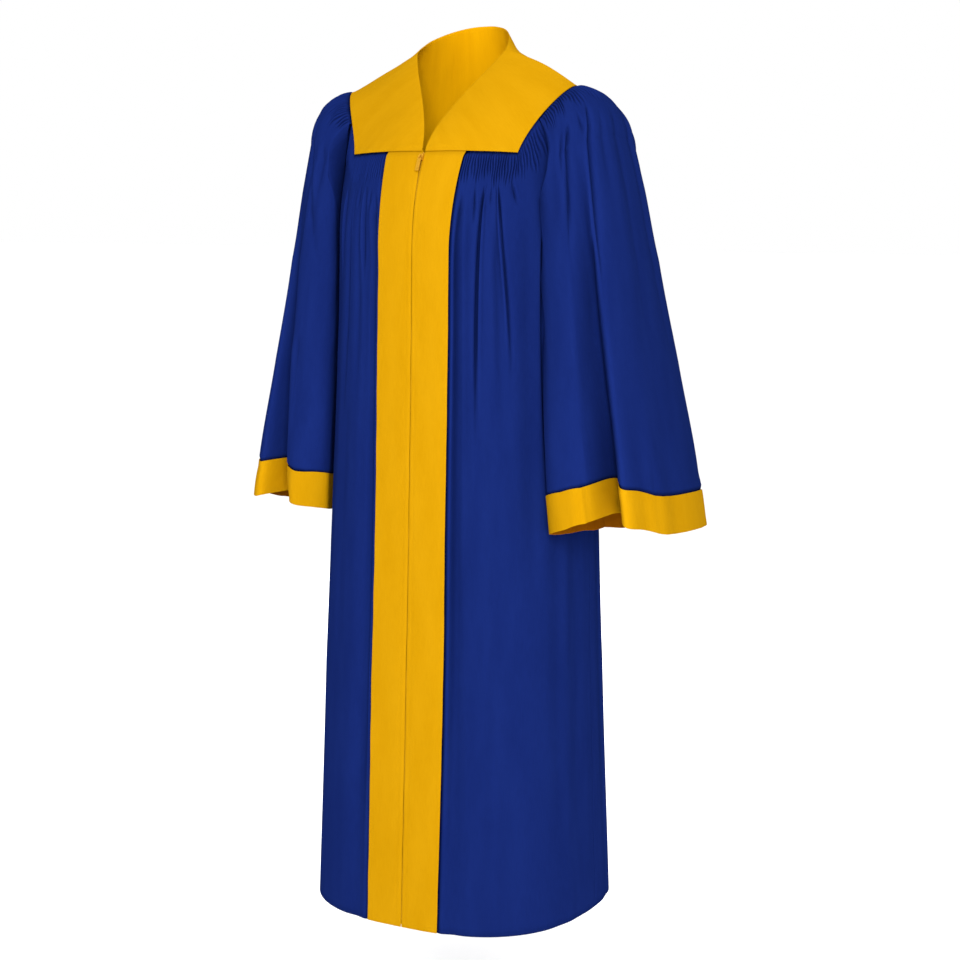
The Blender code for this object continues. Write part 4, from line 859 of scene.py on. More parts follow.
def plain_grid(columns, extra, t, gathers, seed, rows):
    """Grid of the plain cloth below; its extra columns before start under the arm."""
    c, t = np.meshgrid(columns, t)
    half = one_half(c)
    arm = np.where(half > MARK_SIDE, ARM_BACK, ARM_FRONT)
    above = (t < arm - 1e-9)[:-1, :-1] & (under_arm(half[:-1, :-1]) | under_arm(half[1:, 1:]))
    # The painted shade beside the gold band goes with the grid.
    return dressed_body(c, t, gathers, seed, rows), body_uv(c, t), ~above, extra, painted_shade_beside_band(c)


front_columns = gather_columns(FRONT_GATHERS, COLUMNS_PER_WAVE)
front_columns = np.concatenate([MARK_BAND - np.array([1.0, 0.5]) * UNDER_BAND / HALF_HEM, front_columns])
under_columns = np.linspace(MARK_SLEEVE_FRONT, MARK_SIDE, FRONT_UNDER_COLUMNS)[1:]
front_fine = falling_rows(0.0011, 0.0026, 0.0, GATHER_END)
front_rows = np.concatenate([falling_rows(0.003, 0.006, GATHER_END + NEXT_GRID, ARM_FRONT)[:-1],
                             falling_rows(0.006, 0.013, ARM_FRONT, 1.0)])
for side, mirror, seed, rows in (("left", False, 4, NEAR_FRONT_CREASES),
                                 ("right", True, 17, FAR_FRONT_CREASES)):
    front = cloth_piece("blue_front_" + side,
                        [gathered_grid(front_columns, front_fine, FRONT_GATHERS, seed, rows),
                         plain_grid(np.concatenate([front_columns[::2], under_columns]), 0,
                                    front_rows, FRONT_GATHERS, seed, rows)],
                        blue_cloth, CLOTH_WALL, mirror)
    fixed(front, "front_" + side)


# ================================================================ blue back
# One width of the same cloth from side seam to side seam, gathered into the back yoke all the
# way across. Nothing holds it lower down, so its folds run long and soft to the hem.

BACK_GATHERS = ((MARK_SLEEVE_BACK, MARK_BACK_CORNER, 8), (MARK_BACK_CORNER, 2 - MARK_BACK_CORNER, 66),
                (2 - MARK_BACK_CORNER, 2 - MARK_SLEEVE_BACK, 8))
BACK_COLUMNS_PER_WAVE = 6
BACK_UNDER_COLUMNS = 26
BACK_FINE_END = 0.055     # shares of the fall down to which the first and second grids go
BACK_MIDDLE_END = 0.110
SIDE_LAP = 0.0004         # the back runs on over the front's edge at the side seam
BACK_CREASES = (
    # top_s  top_z   end_s   end_z   bow     width   depth   ridge
    (0.735, -0.200,  0.720, -0.620,  0.004,  0.0060, 0.0045, 0.0020),
    (0.782, -0.195,  0.786, -0.480, -0.003,  0.0050, 0.0040, -0.0018),
    (0.826, -0.190,  0.812, -0.800,  0.006,  0.0060, 0.0048, 0.0022),
    (0.868, -0.195,  0.874, -0.420,  0.000,  0.0050, 0.0034, 0.0015),
    (0.902, -0.190,  0.896, -0.700,  0.003,  0.0060, 0.0046, -0.0020),
    (0.947, -0.195,  0.952, -0.560, -0.003,  0.0050, 0.0042, 0.0018),
    (0.984, -0.190,  0.978, -0.900,  0.004,  0.0065, 0.0050, 0.0022),
    (1.022, -0.195,  1.030, -0.460,  0.002,  0.0050, 0.0038, -0.0016),
    (1.058, -0.190,  1.049, -0.760, -0.004,  0.0060, 0.0048, 0.0022),
    (1.103, -0.195,  1.110, -0.520,  0.003,  0.0050, 0.0036, 0.0016),
    (1.141, -0.190,  1.156, -0.860, -0.005,  0.0062, 0.0048, -0.0022),
    (1.184, -0.195,  1.180, -0.440,  0.002,  0.0050, 0.0038, 0.0016),
    (1.226, -0.195,  1.240, -0.680, -0.004,  0.0058, 0.0044, 0.0020),
    (1.262, -0.205,  1.276, -0.520,  0.003,  0.0055, 0.0038, -0.0016),
    (0.680, -0.380,  0.672, -1.150,  0.000,  0.0150, 0.0030, 0.0014),
    (1.328, -0.380,  1.318, -1.150,  0.000,  0.0150, 0.0034, -0.0016),
    (0.760, -0.620,  0.752, -1.280,  0.000,  0.0180, 0.0036, 0.0018),
    (0.918, -0.680,  0.926, -1.300,  0.000,  0.0180, 0.0036, -0.0018),
    (1.084, -0.640,  1.076, -1.290,  0.000,  0.0180, 0.0036, 0.0018),
    (1.232, -0.700,  1.246, -1.250,  0.000,  0.0180, 0.0036, 0.0018),
)

back_columns = gather_columns(BACK_GATHERS, BACK_COLUMNS_PER_WAVE)
back_under = np.linspace(MARK_SIDE - SIDE_LAP / HALF_HEM, MARK_SLEEVE_BACK, BACK_UNDER_COLUMNS)[:-1]
back_middle = falling_rows(0.0035, 0.0045, BACK_FINE_END + NEXT_GRID, BACK_MIDDLE_END)
back_rows = np.concatenate([falling_rows(0.005, 0.006, BACK_MIDDLE_END + NEXT_GRID, ARM_BACK)[:-1],
                            falling_rows(0.007, 0.014, ARM_BACK, 1.0)])
back_form = (BACK_GATHERS, 9, BACK_CREASES)
back = cloth_piece("blue_back", [
    gathered_grid(back_columns, falling_rows(0.0014, 0.0030, 0.0, BACK_FINE_END), *back_form),
    plain_grid(back_columns[::2], 0, back_middle, *back_form),
    plain_grid(np.concatenate([back_under, back_columns[::4], 2 - back_under[::-1]]),
               len(back_under), back_rows, *back_form)], blue_cloth, CLOTH_WALL)
fixed(back, "back")


# ================================================================ sleeves
# Each wide sleeve is one piece of blue cloth, fluted into the yoke's slanted edge and set into
# the body's armhole. It hangs open and folds over itself in front, above the cuff.

SLEEVE_SECTIONS = (
    # z       middle_x  middle_y  half_x  front_y  back_y
    (-0.045,  0.168,    0.018,    0.056,  0.085,   0.085),
    (-0.100,  0.180,    0.032,    0.075,  0.112,   0.105),
    (-0.200,  0.201,    0.042,    0.076,  0.132,   0.125),
    (-0.310,  0.216,    0.046,    0.082,  0.144,   0.142),
    (-0.470,  0.238,    0.048,    0.091,  0.156,   0.168),
    (-0.650,  0.264,    0.050,    0.100,  0.170,   0.188),
    (-0.730,  0.276,    0.052,    0.102,  0.174,   0.195),
)
SLEEVE_FULLNESS = 2.3     # outer half of the section
SLEEVE_INNER_FULLNESS = 2.8
SLEEVE_INNER_BACK = 0.70  # the inner half is narrower behind, beside the body's back
SLEEVE_CLEARANCE = 0.0045 # from the body
SLEEVE_ROUNDING = 0.006   # of the sleeve's form where it leaves the body's
SLEEVE_PULL = 0.0005      # takes back what the rounding adds far from it
BODY_END = 0.985          # the body's end face counts up to this share of its depth
SLEEVE_HEAD_DROP = 0.075  # height over which the head rounds over the shoulder
ARM_DROP = 0.020          # the same below the armhole seam
HEAD_SHARE = 0.16         # share of a sleeve column that rounds the head
HEAD_BLEND = 0.06         # share of the way round over which the yoke's head blends into the arm's
ARM_BLEND = 0.10          # the same for the bearings of its columns
BEARING_FALL = 0.55       # share of a column by which it has its bearing at the wrist
ARMHOLE_LIFT = 0.0008     # the sleeve stands off the body's seam
PAST_WRIST = 1.2          # share of their fall at which the broad folds stop growing
WRIST_Z = -0.715
CUFF_DEPTH = 0.058        # as it shows
SLEEVE_FRONT_MARK = 0.235 # where the yoke starts and ends, as shares of the way round the wrist
SLEEVE_TIP_MARK = 0.50
SLEEVE_BACK_MARK = 0.765

# Wrist edge of each sleeve: bearing in degrees (0 outward, -90 front) and height
NEAR_WRIST_EDGE = (
    (-180.0, -0.7306), (-168.0, -0.7240), (-154.0, -0.7226), (-138.0, -0.7203), (-120.0, -0.7130),
    (-102.0, -0.7035), (-90.0, -0.6925), (-76.0, -0.6858), (-58.0, -0.6972), (-42.0, -0.7030),
    (-24.0, -0.7145), (-12.0, -0.7192), (15.0, -0.7255), (60.0, -0.7390), (100.0, -0.7450),
    (135.0, -0.7490), (152.0, -0.7470), (168.0, -0.7385), (180.0, -0.7306),
)
FAR_WRIST_EDGE = (
    (-180.0, -0.7230), (-150.0, -0.7150), (-122.0, -0.7060), (-100.0, -0.7010),
    (-80.0, -0.6900), (-60.0, -0.6960), (-25.0, -0.7010), (15.0, -0.7330),
    (60.0, -0.7500), (100.0, -0.7480), (140.0, -0.7400), (180.0, -0.7230),
)

# Broad folds of each sleeve, which turn and deepen from their top down to the wrist
NEAR_SLEEVE_FOLDS = (
    # bearing  at_top  depth  width  toward  top     growth
    (-75.0,    -60.0,  0.085, 9.0,   97.0,   -0.120, 1.0),
    (-40.0,    -36.0,  0.008, 9.0,   150.0,  -0.420, 1.0),
    (-12.0,    -12.0,  0.008, 12.0,  180.0,  -0.300, 1.0),
    (30.0,     26.0,   0.006, 27.0,  200.0,  -0.160, 0.8),
    (58.0,     48.0,   0.045, 9.0,   255.0,  -0.140, 1.0),
    (84.0,     80.0,   0.012, 8.0,   270.0,  -0.300, 1.0),
)
FAR_SLEEVE_FOLDS = (
    # bearing  at_top  depth  width  toward  top     growth
    (-82.0,    -53.0,  0.085, 9.0,   97.0,   -0.120, 1.35),
    (26.0,     20.0,   0.022, 11.0,  195.0,  -0.160, 0.8),
    (60.0,     50.0,   0.040, 9.0,   255.0,  -0.140, 1.0),
)

SLEEVE_INNER_EASE = 0.65  # the inner half is rounder by this above the elbow
SLEEVE_INNER_Z = (-0.600, -0.400)


def clear_of_body(x, y, z):
    """Sleeve's plan point kept outside the body's section: the larger of its own x and the
    body's, rounded off between them by a hyperbola."""
    half = column(BODY_SECTIONS, z, 1) + SLEEVE_CLEARANCE
    front = column(BODY_SECTIONS, z, 2) - SLEEVE_CLEARANCE
    back = column(BODY_SECTIONS, z, 3) + SLEEVE_CLEARANCE
    full = column(BODY_SECTIONS, z, 4)
    reach = np.where(y < BODY_MIDDLE_Y, BODY_MIDDLE_Y - front, back - BODY_MIDDLE_Y)
    v = np.clip(np.abs(y - BODY_MIDDLE_Y) / reach, 0, BODY_END)
    edge = half * (1 - v ** full) ** (1 / full)
    soft = 0.5 * (x + edge + np.hypot(x - edge, SLEEVE_ROUNDING)) - SLEEVE_PULL
    return np.stack([soft, y], -1)


def sleeve_section(bearing, z, folds):
    """Superellipse of the sleeve at height z, at a bearing of 0 outward and -90 in front, moved
    by each broad fold's bell of bearings, which deepens down to the wrist."""
    mid_x, mid_y, half_x, front, back = (column(SLEEVE_SECTIONS, z, k) for k in range(1, 6))
    angle = np.radians(bearing)
    c, sn = np.cos(angle), np.sin(angle)
    half_x = half_x * np.where((c < 0) & (sn > 0), SLEEVE_INNER_BACK, 1.0)
    rise = ease((z - SLEEVE_INNER_Z[0]) / (SLEEVE_INNER_Z[1] - SLEEVE_INNER_Z[0]))
    power = 2 / np.where(c < 0, SLEEVE_INNER_FULLNESS - SLEEVE_INNER_EASE * rise, SLEEVE_FULLNESS)
    x = mid_x + half_x * np.sign(c) * np.abs(c) ** power
    y = mid_y + np.where(sn < 0, front, back) * np.sign(sn) * np.abs(sn) ** power
    for at, at_top, depth, width, toward, top, growth in folds:
        fall = np.clip((top - z) / (top - WRIST_Z), 0, PAST_WRIST)
        turn = (bearing - at_top - (at - at_top) * fall + 180) % 360 - 180
        push = depth * fall ** growth * bell(turn, 0, width)
        x = x + push * math.cos(math.radians(toward))
        y = y + push * math.sin(math.radians(toward))
    return clear_of_body(x, y, z)


def armhole(r):
    """Seam on the body from the yoke in front, r = 0, under the arm at 0.5, to the yoke behind."""
    behind = r > 0.5
    near = np.where(behind, 1 - r, r) * 2
    t = np.where(behind, ARM_BACK, ARM_FRONT) * np.clip(near / UPRIGHT_SHARE, 0, 1)
    upright = body_point(np.where(behind, MARK_SLEEVE_BACK, MARK_SLEEVE_FRONT), t)
    along = np.clip((near - UPRIGHT_SHARE) / (1 - UPRIGHT_SHARE), 1e-6, 1)
    c = MARK_SLEEVE_FRONT + along * (MARK_SIDE - MARK_SLEEVE_FRONT)
    under = body_top(np.where(behind, MARK_SIDE + (MARK_SIDE - c) / BACK_SCALE, c))
    return np.where((near > UPRIGHT_SHARE)[..., None], under, upright)


def on_yoke(u):
    """Whether the sleeve's column u is sewn to the yoke and not into the armhole."""
    return (u >= SLEEVE_FRONT_MARK) & (u <= SLEEVE_BACK_MARK)


def sleeve_q(u):
    """Place round the yoke of the sleeve's column u."""
    return np.interp(u, [SLEEVE_FRONT_MARK, SLEEVE_TIP_MARK, SLEEVE_BACK_MARK],
                     [Q_SEAM_FRONT, Q_TIP, Q_SEAM_BACK])


def sleeve_top(u):
    """Top of the sleeve's columns: up the armhole in front, along the yoke, down behind."""
    r = np.where(u < 0.5, 0.5 - u / SLEEVE_FRONT_MARK / 2,
                 0.5 + (1 - u) / (1 - SLEEVE_BACK_MARK) / 2)
    seam = armhole(np.clip(r, 0, 1))
    seam[..., :2] += from_middle(seam[..., :2]) * ARMHOLE_LIFT
    return np.where(on_yoke(u)[..., None], yoke_edge(sleeve_q(u)), seam)


def wrist_bearings(folds):
    """Share of the cloth round the wrist against the bearing, from the inner side round."""
    bearing = np.linspace(-180, 180, 1441)
    steps = np.hypot(*np.diff(sleeve_section(bearing, 0 * bearing + WRIST_Z, folds), axis=0).T)
    length = np.concatenate([[0], np.cumsum(steps)])
    return length / length[-1], bearing


def armhole_bearings():
    """Bearing of the section's nearest point to the armhole seam, for columns along it."""
    u = np.concatenate([np.linspace(0, SLEEVE_FRONT_MARK - 1e-6, 24),
                        np.linspace(SLEEVE_BACK_MARK + 1e-6, 1, 24)])
    bearing = np.concatenate([np.linspace(-180, -30, 301), np.linspace(30, 180, 301)])
    top = sleeve_top(u)
    plan = sleeve_section(bearing[None, :], (top[:, 2] - ARM_DROP)[:, None] + 0 * bearing, ())
    away = np.linalg.norm(plan - top[:, None, :2], axis=-1)
    same_side = (bearing[None, :] > 0) == (u[:, None] > 0.5)
    return u, bearing[np.argmin(np.where(same_side, away, 1.0), axis=1)]


ARMHOLE_U, ARMHOLE_BEARING = armhole_bearings()

DRAWN_UP = 0.085          # share by which the cuff looks narrower in the deep fold
DRAWN_UP_FROM = 9.0       # degrees from the fold's middle to where it is narrowest
DRAWN_UP_WIDTH = 18.0


def sleeve_bottom(bearing, edge):
    """Height of the wrist edge under the bearing."""
    rows = np.array(edge)
    place = np.interp(bearing, rows[:, 0], np.arange(len(rows)) / (len(rows) - 1))
    return smooth_through(rows[:, [1]], place)[..., 0]


def head_drop(u):
    """How much of the column's head is on the yoke, from 0 to 1, and how far the head drops."""
    front = (u - SLEEVE_FRONT_MARK + HEAD_BLEND) / (2 * HEAD_BLEND)
    back = (SLEEVE_BACK_MARK + HEAD_BLEND - u) / (2 * HEAD_BLEND)
    head = ease(front) * ease(back)
    return head, ARM_DROP + (SLEEVE_HEAD_DROP - ARM_DROP) * head


def above_wrist(u, distance, form):
    """Share t of the points that lie the distance above the wrist edge, which is drawn up in the
    deep fold."""
    bearing = np.interp(u, *form["round_wrist"])
    bottom = sleeve_bottom(bearing, form["wrist_edge"])
    narrowest = form["folds"][0][0] - DRAWN_UP_FROM
    distance = distance * (1 - DRAWN_UP * bell(bearing, narrowest, DRAWN_UP_WIDTH))
    return 1 - (1 - HEAD_SHARE) * distance / (sleeve_top(u)[..., 2] - head_drop(u)[1] - bottom)


def column_bearing(u, t, form):
    """Bearing of the column u at t: the armhole's own at its seam, its place on the wrist below."""
    wrist = np.interp(u, *form["round_wrist"])
    seam = np.interp(u, ARMHOLE_U, ARMHOLE_BEARING)
    on_arm = np.maximum(ease((SLEEVE_FRONT_MARK - u) / ARM_BLEND),
                        ease((u - SLEEVE_BACK_MARK) / ARM_BLEND))
    return wrist + (seam - wrist) * on_arm * (1 - ease(t / BEARING_FALL))


def sleeve_point(u, t, form):
    """Sleeve from its top seam, t = 0, to the wrist edge, t = 1: a quarter ellipse over the
    shoulder up to HEAD_SHARE, then the sections down to the wrist."""
    top = sleeve_top(u)
    end = sleeve_bottom(np.interp(u, *form["round_wrist"]), form["wrist_edge"])
    bearing = column_bearing(u, t, form)
    head, drop = head_drop(u)
    turn = np.clip(t / HEAD_SHARE, 0, 1) * math.pi / 2
    level = 1 - np.cos(turn)
    shoulder = top[..., 2] - drop * (level + (np.sin(turn) - level) * (1 - head))
    fall = np.clip((t - HEAD_SHARE) / (1 - HEAD_SHARE), 0, 1)
    z = shoulder + (end - shoulder) * fall
    start = sleeve_section(bearing, top[..., 2] - drop, form["folds"])
    here = np.where((t < HEAD_SHARE)[..., None], start, sleeve_section(bearing, z, form["folds"]))
    plan = here + (top[..., :2] - start) * (1 - np.sin(turn))[..., None]
    return at_height(plan, z)


NEAR_SLEEVE_CREASES = (
    # bearing  top_z   bearing  end_z   bow    width  depth   ridge
    (-39.0,   -0.070,  -54.0,  -0.430,  -2.5,  2.2,   0.0105, -0.0030),
    (-57.0,   -0.260,  -88.0,  -0.660,  -3.0,  5.0,   0.0034, 0.0022),
    (-66.0,   -0.095,  -81.0,  -0.330,   0.0,  2.2,   0.0085, -0.0024),
    (-55.0,   -0.080,  -49.0,  -0.125,   0.0,  1.8,   0.0046, 0.0010),
    (-74.0,   -0.110,  -80.0,  -0.200,   0.0,  1.8,   0.0044, 0.0010),
    (-88.0,   -0.150,  -98.0,  -0.330,   0.0,  3.2,   0.0036, 0.0016),
    (-88.0,   -0.480,  -86.0,  -1.050,   0.0,  2.2,   0.0034, -0.0016),
    (-28.0,   -0.600,  -27.0,  -1.100,   0.0,  4.8,   0.0028, 0.0014),
    (-26.0,   -0.074,  -30.0,  -0.230,   0.0,  2.6,   0.0022, 0.0012),
    (-8.0,    -0.070,  -12.0,  -0.480,   1.5,  4.0,   0.0034, -0.0018),
    (12.0,    -0.072,   18.0,  -0.560,  -1.0,  3.6,   0.0044, 0.0020),
    (34.0,    -0.078,   40.0,  -0.330,   1.0,  3.0,   0.0034, 0.0014),
    (52.0,    -0.092,   62.0,  -0.620,   2.0,  3.6,   0.0048, -0.0020),
    (76.0,    -0.120,   88.0,  -0.420,   0.0,  3.2,   0.0036, 0.0016),
    (104.0,   -0.200,  112.0,  -0.640,   0.0,  5.0,   0.0036, 0.0018),
)
FAR_SLEEVE_CREASES = (
    # bearing  top_z   bearing  end_z   bow    width  depth   ridge
    (-47.0,   -0.074, -106.0,  -0.400,  -6.0,  3.4,   0.0050, -0.0022),
    (-85.0,   -0.118,  -89.0,  -0.260,   0.0,  3.0,   0.0040, 0.0016),
    (-88.0,   -0.420,  -93.0,  -0.660,   0.0,  3.4,   0.0050, 0.0024),
    (-64.0,   -0.092,  -70.0,  -0.340,   0.0,  3.0,   0.0034, 0.0016),
    (-30.0,   -0.074,  -38.0,  -0.520,  -2.0,  3.4,   0.0042, 0.0020),
    (-12.0,   -0.072,  -16.0,  -0.300,   0.0,  3.0,   0.0028, -0.0012),
    (8.0,     -0.070,   12.0,  -0.640,   1.5,  4.0,   0.0046, 0.0020),
    (30.0,    -0.078,   38.0,  -0.420,   0.0,  3.0,   0.0034, 0.0016),
    (50.0,    -0.090,   58.0,  -0.560,  -1.5,  3.6,   0.0046, 0.0020),
    (74.0,    -0.120,   82.0,  -0.360,   0.0,  3.2,   0.0036, -0.0016),
    (106.0,   -0.210,  116.0,  -0.600,   0.0,  5.0,   0.0036, 0.0018),
)

SLEEVE_WAVES = 45         # gathers along the yoke
SLEEVE_GATHER_END = 0.125 # share of a column down to which the grid is fine
NEXT_SLEEVE_GRID = 0.004  # and from there to the plain grid
HEAD_STEP = 0.006         # between its rows on the head
BELOW_HEAD = 0.58         # length of the cloth from the head down to the cuff
ARMHOLE_COLUMNS = 25
HEAD_LENGTH = 0.60        # length of the head's curve for a whole share t
SLEEVE_FALL = 0.70        # length of the cloth, and its girth at the wrist, for its UV
WRIST_ROUND = 0.90
SLEEVE_GATHERS = ((SLEEVE_FRONT_MARK, SLEEVE_BACK_MARK, SLEEVE_WAVES),)
SLEEVE_RIB_END = 0.015    # the gathers fade out over this share of the way round
SLEEVE_CREASE_START = 0.05        # and the creases set in over this share t
SEAM_TURN = 0.0035        # seam allowance turned into the body at the armhole
UNDER_CUFF = 0.0026       # the sleeve's end lies below the cuff's face by this
UNDER_CUFF_RUN = 0.004    # and sinks to it over this, above the cuff
CUFF_TUCK = 0.0150        # and runs on this far under it


def dressed_sleeve(u, t, form):
    """Sleeve's cloth: its form, moved along its normal by the gathers, which fade out at the
    armhole, and by the creases, which rise from nothing below the seam."""
    points = sleeve_point(u, t, form)
    below = t * HEAD_LENGTH
    edge = ease(np.minimum(u - SLEEVE_FRONT_MARK, SLEEVE_BACK_MARK - u) / SLEEVE_RIB_END)
    height = ribs(wave_phase(u, SLEEVE_GATHERS), below, form["seed"]) * edge
    bearing = column_bearing(u, t, form)
    start = ease(t / SLEEVE_CREASE_START)
    height = height + creases(bearing, points[..., 2], form["creases"]) * start
    return points + outward(points, ring=True) * height[..., None]


def sleeve_grids(form):
    """Fine grid of the head from the row under the yoke, or turned in at the armhole, and the
    plain grid from there down to the row under the cuff."""
    edge = np.linspace(0, SLEEVE_FRONT_MARK, ARMHOLE_COLUMNS)[:-1]
    fine = np.concatenate([edge, gather_columns(SLEEVE_GATHERS, COLUMNS_PER_WAVE), 1 - edge[::-1]])
    u, t = np.meshgrid(fine, falling_rows(0.0012, 0.0026, 0.0, SLEEVE_GATHER_END, HEAD_LENGTH))
    head = dressed_sleeve(u, t, form)
    depth = UNDER_YOKE * (1 - ease(t * HEAD_LENGTH / UNDER_YOKE_RUN)) * on_yoke(u)
    head = head - outward(head, ring=True) * depth[..., None]
    turned = head[0].copy()
    turned[:, :2] -= from_middle(turned[:, :2]) * SEAM_TURN
    first = np.where(on_yoke(fine)[:, None], tucked(sleeve_q(fine))[0], turned)[None]
    uv = np.stack([u * WRIST_ROUND, -t * SLEEVE_FALL], -1)
    # Painted shade under the yoke's edge.
    shade = painted_seam_shade(np.concatenate([t[:1], t]) * HEAD_LENGTH)
    upper = full_grid(np.concatenate([first, head]), np.concatenate([uv[:1] + [0, TUCK], uv]), shade)

    plain = fine[::2]
    shares = falling_rows(0.0038, 0.0076, 0.0, 1.0, BELOW_HEAD)[:, None]
    head_rows = np.arange(SLEEVE_GATHER_END + NEXT_SLEEVE_GRID, HEAD_SHARE, HEAD_STEP)[:, None]
    cuff = above_wrist(plain, CUFF_DEPTH, form)
    t = np.concatenate([head_rows + 0 * plain, HEAD_SHARE + (cuff - HEAD_SHARE) * shares,
                        above_wrist(plain, CUFF_DEPTH - TUCK, form)[None],
                        above_wrist(plain, CUFF_DEPTH - CUFF_TUCK, form)[None]])
    u = plain + 0 * t
    points = dressed_sleeve(u, t, form)
    depth = UNDER_CUFF * ease((t - cuff) * SLEEVE_FALL / UNDER_CUFF_RUN + 1)
    points = points - outward(points, ring=True) * depth[..., None]
    # Painted shade under the cuff's edge goes with the plain grid.
    return upper, full_grid(points, np.stack([u * WRIST_ROUND, -t * SLEEVE_FALL], -1),
                            painted_seam_shade((cuff - t) * SLEEVE_FALL))


sleeve_forms = [(side, mirror, dict(folds=folds, wrist_edge=edge, creases=rows, seed=seed,
                                    round_wrist=wrist_bearings(folds)))
                for side, mirror, folds, edge, rows, seed in (
                    ("left", False, NEAR_SLEEVE_FOLDS, NEAR_WRIST_EDGE, NEAR_SLEEVE_CREASES, 21),
                    ("right", True, FAR_SLEEVE_FOLDS, FAR_WRIST_EDGE, FAR_SLEEVE_CREASES, 33))]
for side, mirror, form in sleeve_forms:
    sleeve = cloth_piece("blue_sleeve_" + side, sleeve_grids(form), blue_cloth,
                         CLOTH_WALL, mirror, ring=True)
    fixed(sleeve, "sleeve_" + side)


# ================================================================ cuffs
# A straight band of the gold cloth, cut double, is sewn round each sleeve's end and faced
# inside with itself, so the open cuff shows gold there too. Its inner face is a darker, redder
# copy of the gold: painted shade inside the open cuff.

CUFF_COLUMNS = 260
CUFF_ROWS = 24
# Darker, redder copy of the gold: painted shade inside the open cuff.
GOLD_INSIDE_PAINTED_SHADE = (0.240, 0.072, 0.0012, 1.0)
GOLD_INSIDE_PAINTED_SHADE_DEEP = (0.210, 0.060, 0.0010, 1.0)
INSIDE_SHEEN = (1.0, 0.60, 0.10, 1.0)
gold_inside_painted_shade = woven("gold_cuff_inside_painted_shade", GOLD_INSIDE_PAINTED_SHADE, GOLD_INSIDE_PAINTED_SHADE_DEEP, 0.70, 0.01, INSIDE_SHEEN)
for side, mirror, form in sleeve_forms:
    u, down = np.meshgrid(np.linspace(0, 1, CUFF_COLUMNS + 1), np.linspace(1, 0, CUFF_ROWS))
    t = above_wrist(u, down * CUFF_DEPTH, form)
    cuff = cloth_piece("gold_cuff_" + side, [full_grid(
        dressed_sleeve(u, t, form), np.stack([u * WRIST_ROUND, down * CUFF_DEPTH], -1))],
                       gold_cloth, CLOTH_WALL, mirror, ring=True, inside=gold_inside_painted_shade)
    rounded(cuff)
    fixed(cuff, "cuff_" + side)


# ================================================================ zip
# A gold zip closes the front under the two bands. Its tape and teeth lie behind them; the
# slider and its tab hang at the foot of the V.

TAPE_HALF = 0.0125
TAPE_BEHIND = 0.0033      # behind the bands' face
TEETH_BEHIND = 0.0027
TAPE_END = 0.997
TAPE_WALL = 0.0008
TOOTH_PITCH = 0.0024
TOOTH = (0.0011, 0.00065, 0.0005)   # half sizes across, down and outwards
TOOTH_SIDE = 0.0008       # the teeth of one side stand this far from the middle
CHAIN_START = 0.001       # share of the fall
CHAIN_HALF = 0.002        # half the strip of the front that gives the chain its slope

x, t = np.meshgrid(np.linspace(-TAPE_HALF, TAPE_HALF, 9), falling_rows(0.008, 0.010, 0.002, TAPE_END))
tape_points = body_point(np.abs(x) / HALF_HEM, t)
tape_points[..., 0] = x
tape_points = tape_points - outward(tape_points) * TAPE_BEHIND
zip_tape = cloth_piece("zip_tape_cloth", [full_grid(tape_points, np.stack([x, -t * BODY_FALL], -1))],
                       gold_cloth, TAPE_WALL)
fixed(zip_tape, "zip_tape")

GRAIN = 900.0             # of the metal, cells a metre
GRAIN_LOW = 0.35          # its darker tone up to here, and its lighter one from GRAIN_HIGH
GRAIN_HIGH = 0.65

brass = bpy.data.materials.new("gilt_brass")
brass.use_nodes = True
tree = brass.node_tree
shader = tree.nodes["Principled BSDF"]
shader.inputs["Metallic"].default_value = 1.0
place = tree.nodes.new("ShaderNodeTexCoord")
grain = tree.nodes.new("ShaderNodeTexNoise")
grain.inputs["Scale"].default_value = GRAIN
grain.inputs["Detail"].default_value = 3.0
tree.links.new(place.outputs["Object"], grain.inputs["Vector"])
for socket, low, high in (("Roughness", (0.34,) * 3, (0.52,) * 3),
                          ("Base Color", (0.52, 0.25, 0.012), (0.68, 0.36, 0.030))):
    tone = two_tone(tree, grain.outputs["Fac"], (GRAIN_LOW, (*low, 1.0)), (GRAIN_HIGH, (*high, 1.0)))
    tree.links.new(tone, shader.inputs[socket])

tooth = np.array([(i, j, k) for i in (-1, 1) for j in (-1, 1) for k in (-1, 1)]) * np.array(TOOTH)
tooth_faces = np.array([(0, 1, 3, 2), (4, 6, 7, 5), (0, 4, 5, 1), (2, 3, 7, 6), (0, 2, 6, 4), (1, 5, 7, 3)])
count = int(BODY_FALL * TAPE_END / TOOTH_PITCH * 2)
tooth_t = np.linspace(CHAIN_START, TAPE_END, count)
middle, tooth_rows = np.meshgrid(np.array([-1.0, 0.0, 1.0]) * CHAIN_HALF, tooth_t)
line = body_point(np.abs(middle) / HALF_HEM, tooth_rows)
line[..., 0] = middle
normals = outward(line)[:, 1]
teeth_middle = line[:, 1] - normals * TEETH_BEHIND
teeth_middle[:, 0] = np.where(np.arange(count) % 2, 1, -1) * TOOTH_SIDE
along = unit(np.gradient(line[:, 1], axis=0))
axes = np.stack([unit(np.cross(along, normals)), along, normals], 1)
teeth_points = teeth_middle[:, None] + np.einsum("vk,nkd->nvd", tooth, axes)
teeth_faces = tooth_faces[None] + (np.arange(count) * len(tooth))[:, None, None]
teeth_mesh = bpy.data.meshes.new("zip_teeth")
teeth_mesh.from_pydata(teeth_points.reshape(-1, 3).tolist(), [], teeth_faces.reshape(-1, 4).tolist())
teeth_mesh.materials.append(brass)
teeth_mesh.shade_smooth()
teeth = in_scene("zip_teeth", teeth_mesh)
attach(teeth, "robe")

for name in ("zip_slider", "zip_pull_tab"):
    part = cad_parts[name]
    for holder in part.material_slots:
        holder.material = brass


# ================================================================ stage
# A pale floor under a white sky, soft studio light from all round, and a camera where the
# photograph's was.

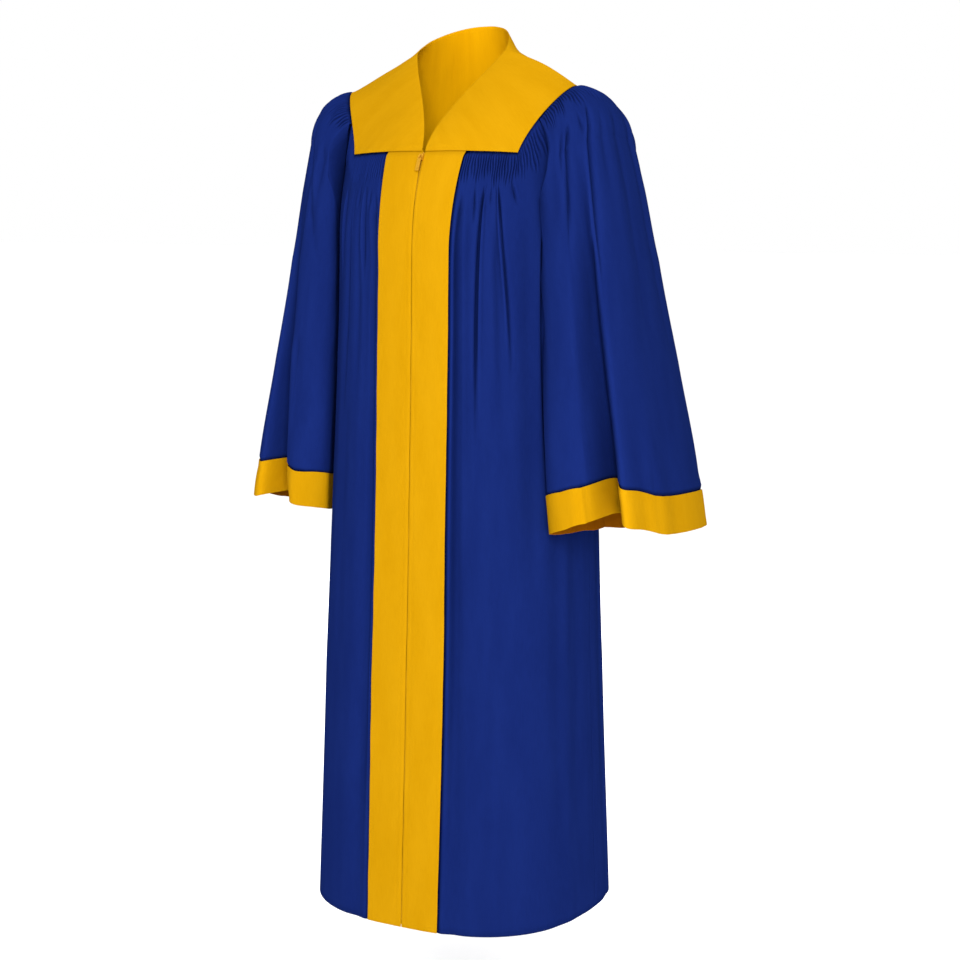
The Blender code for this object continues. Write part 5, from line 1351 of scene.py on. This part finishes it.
CAMERA_TURN = math.radians(27.5)
CAMERA_TILT = math.radians(8.5)
CAMERA_DISTANCE = 3.0
CAMERA_Z = -0.212
CAMERA_SIDE = 0.031
FOCAL_PIXELS = 1893       # focal length in pixels of a picture PICTURE_PIXELS wide
PICTURE_PIXELS = 960
SENSOR_MM = 36.0
FLOOR_HALF = 40.0
FLOOR_Z = -1.5
FLOOR_GLOW = 0.09         # lifts the pale floor to the paper white behind it

camera_data = bpy.data.cameras.new("camera")
camera = in_scene("camera", camera_data)
camera_data.sensor_width = SENSOR_MM
camera_data.lens = FOCAL_PIXELS / PICTURE_PIXELS * SENSOR_MM
across = np.array([math.cos(CAMERA_TURN), math.sin(CAMERA_TURN)])
back_off = np.array([math.sin(CAMERA_TURN), -math.cos(CAMERA_TURN)])
camera.location = (*(across * CAMERA_SIDE + back_off * CAMERA_DISTANCE), CAMERA_Z)
camera.rotation_euler = (math.pi / 2 - CAMERA_TILT, 0, CAMERA_TURN)
bpy.context.scene.camera = camera

bpy.context.scene.view_settings.view_transform = "Standard"
world = bpy.data.worlds.new("studio")
world.use_nodes = True
sky = world.node_tree.nodes["Background"]
sky.inputs["Color"].default_value = (1.0, 1.0, 1.0, 1.0)
sky.inputs["Strength"].default_value = 1.0
bpy.context.scene.world = world


def soft_lamp(name, place, turn, size, power):
    """Square area light of the given size, turned by Euler degrees."""
    lamp = bpy.data.lights.new(name, "AREA")
    lamp.energy = power
    lamp.size = size
    thing = in_scene(name, lamp)
    thing.location = place
    thing.rotation_euler = [math.radians(v) for v in turn]


soft_lamp("front_light", (1.65, -3.00, 0.75), (71, 0, 29), 1.4, 165)
soft_lamp("back_light", (-1.60, 3.10, 0.60), (74, 0, 207), 1.8, 130)
soft_lamp("top_light", (-0.40, -0.60, 2.60), (12, 0, -30), 2.0, 22)

floor_mesh = bpy.data.meshes.new("floor")
floor_mesh.from_pydata([(x * FLOOR_HALF, y * FLOOR_HALF, FLOOR_Z)
                        for x, y in ((-1, -1), (1, -1), (1, 1), (-1, 1))], [], [(0, 1, 2, 3)])
floor = in_scene("floor", floor_mesh)
paper = bpy.data.materials.new("pale_floor")
paper.use_nodes = True
for socket, value in (("Base Color", (0.93, 0.93, 0.93, 1.0)), ("Roughness", 0.9),
                      ("Emission Color", (1.0, 1.0, 1.0, 1.0)), ("Emission Strength", FLOOR_GLOW)):
    paper.node_tree.nodes["Principled BSDF"].inputs[socket].default_value = value
floor_mesh.materials.append(paper)
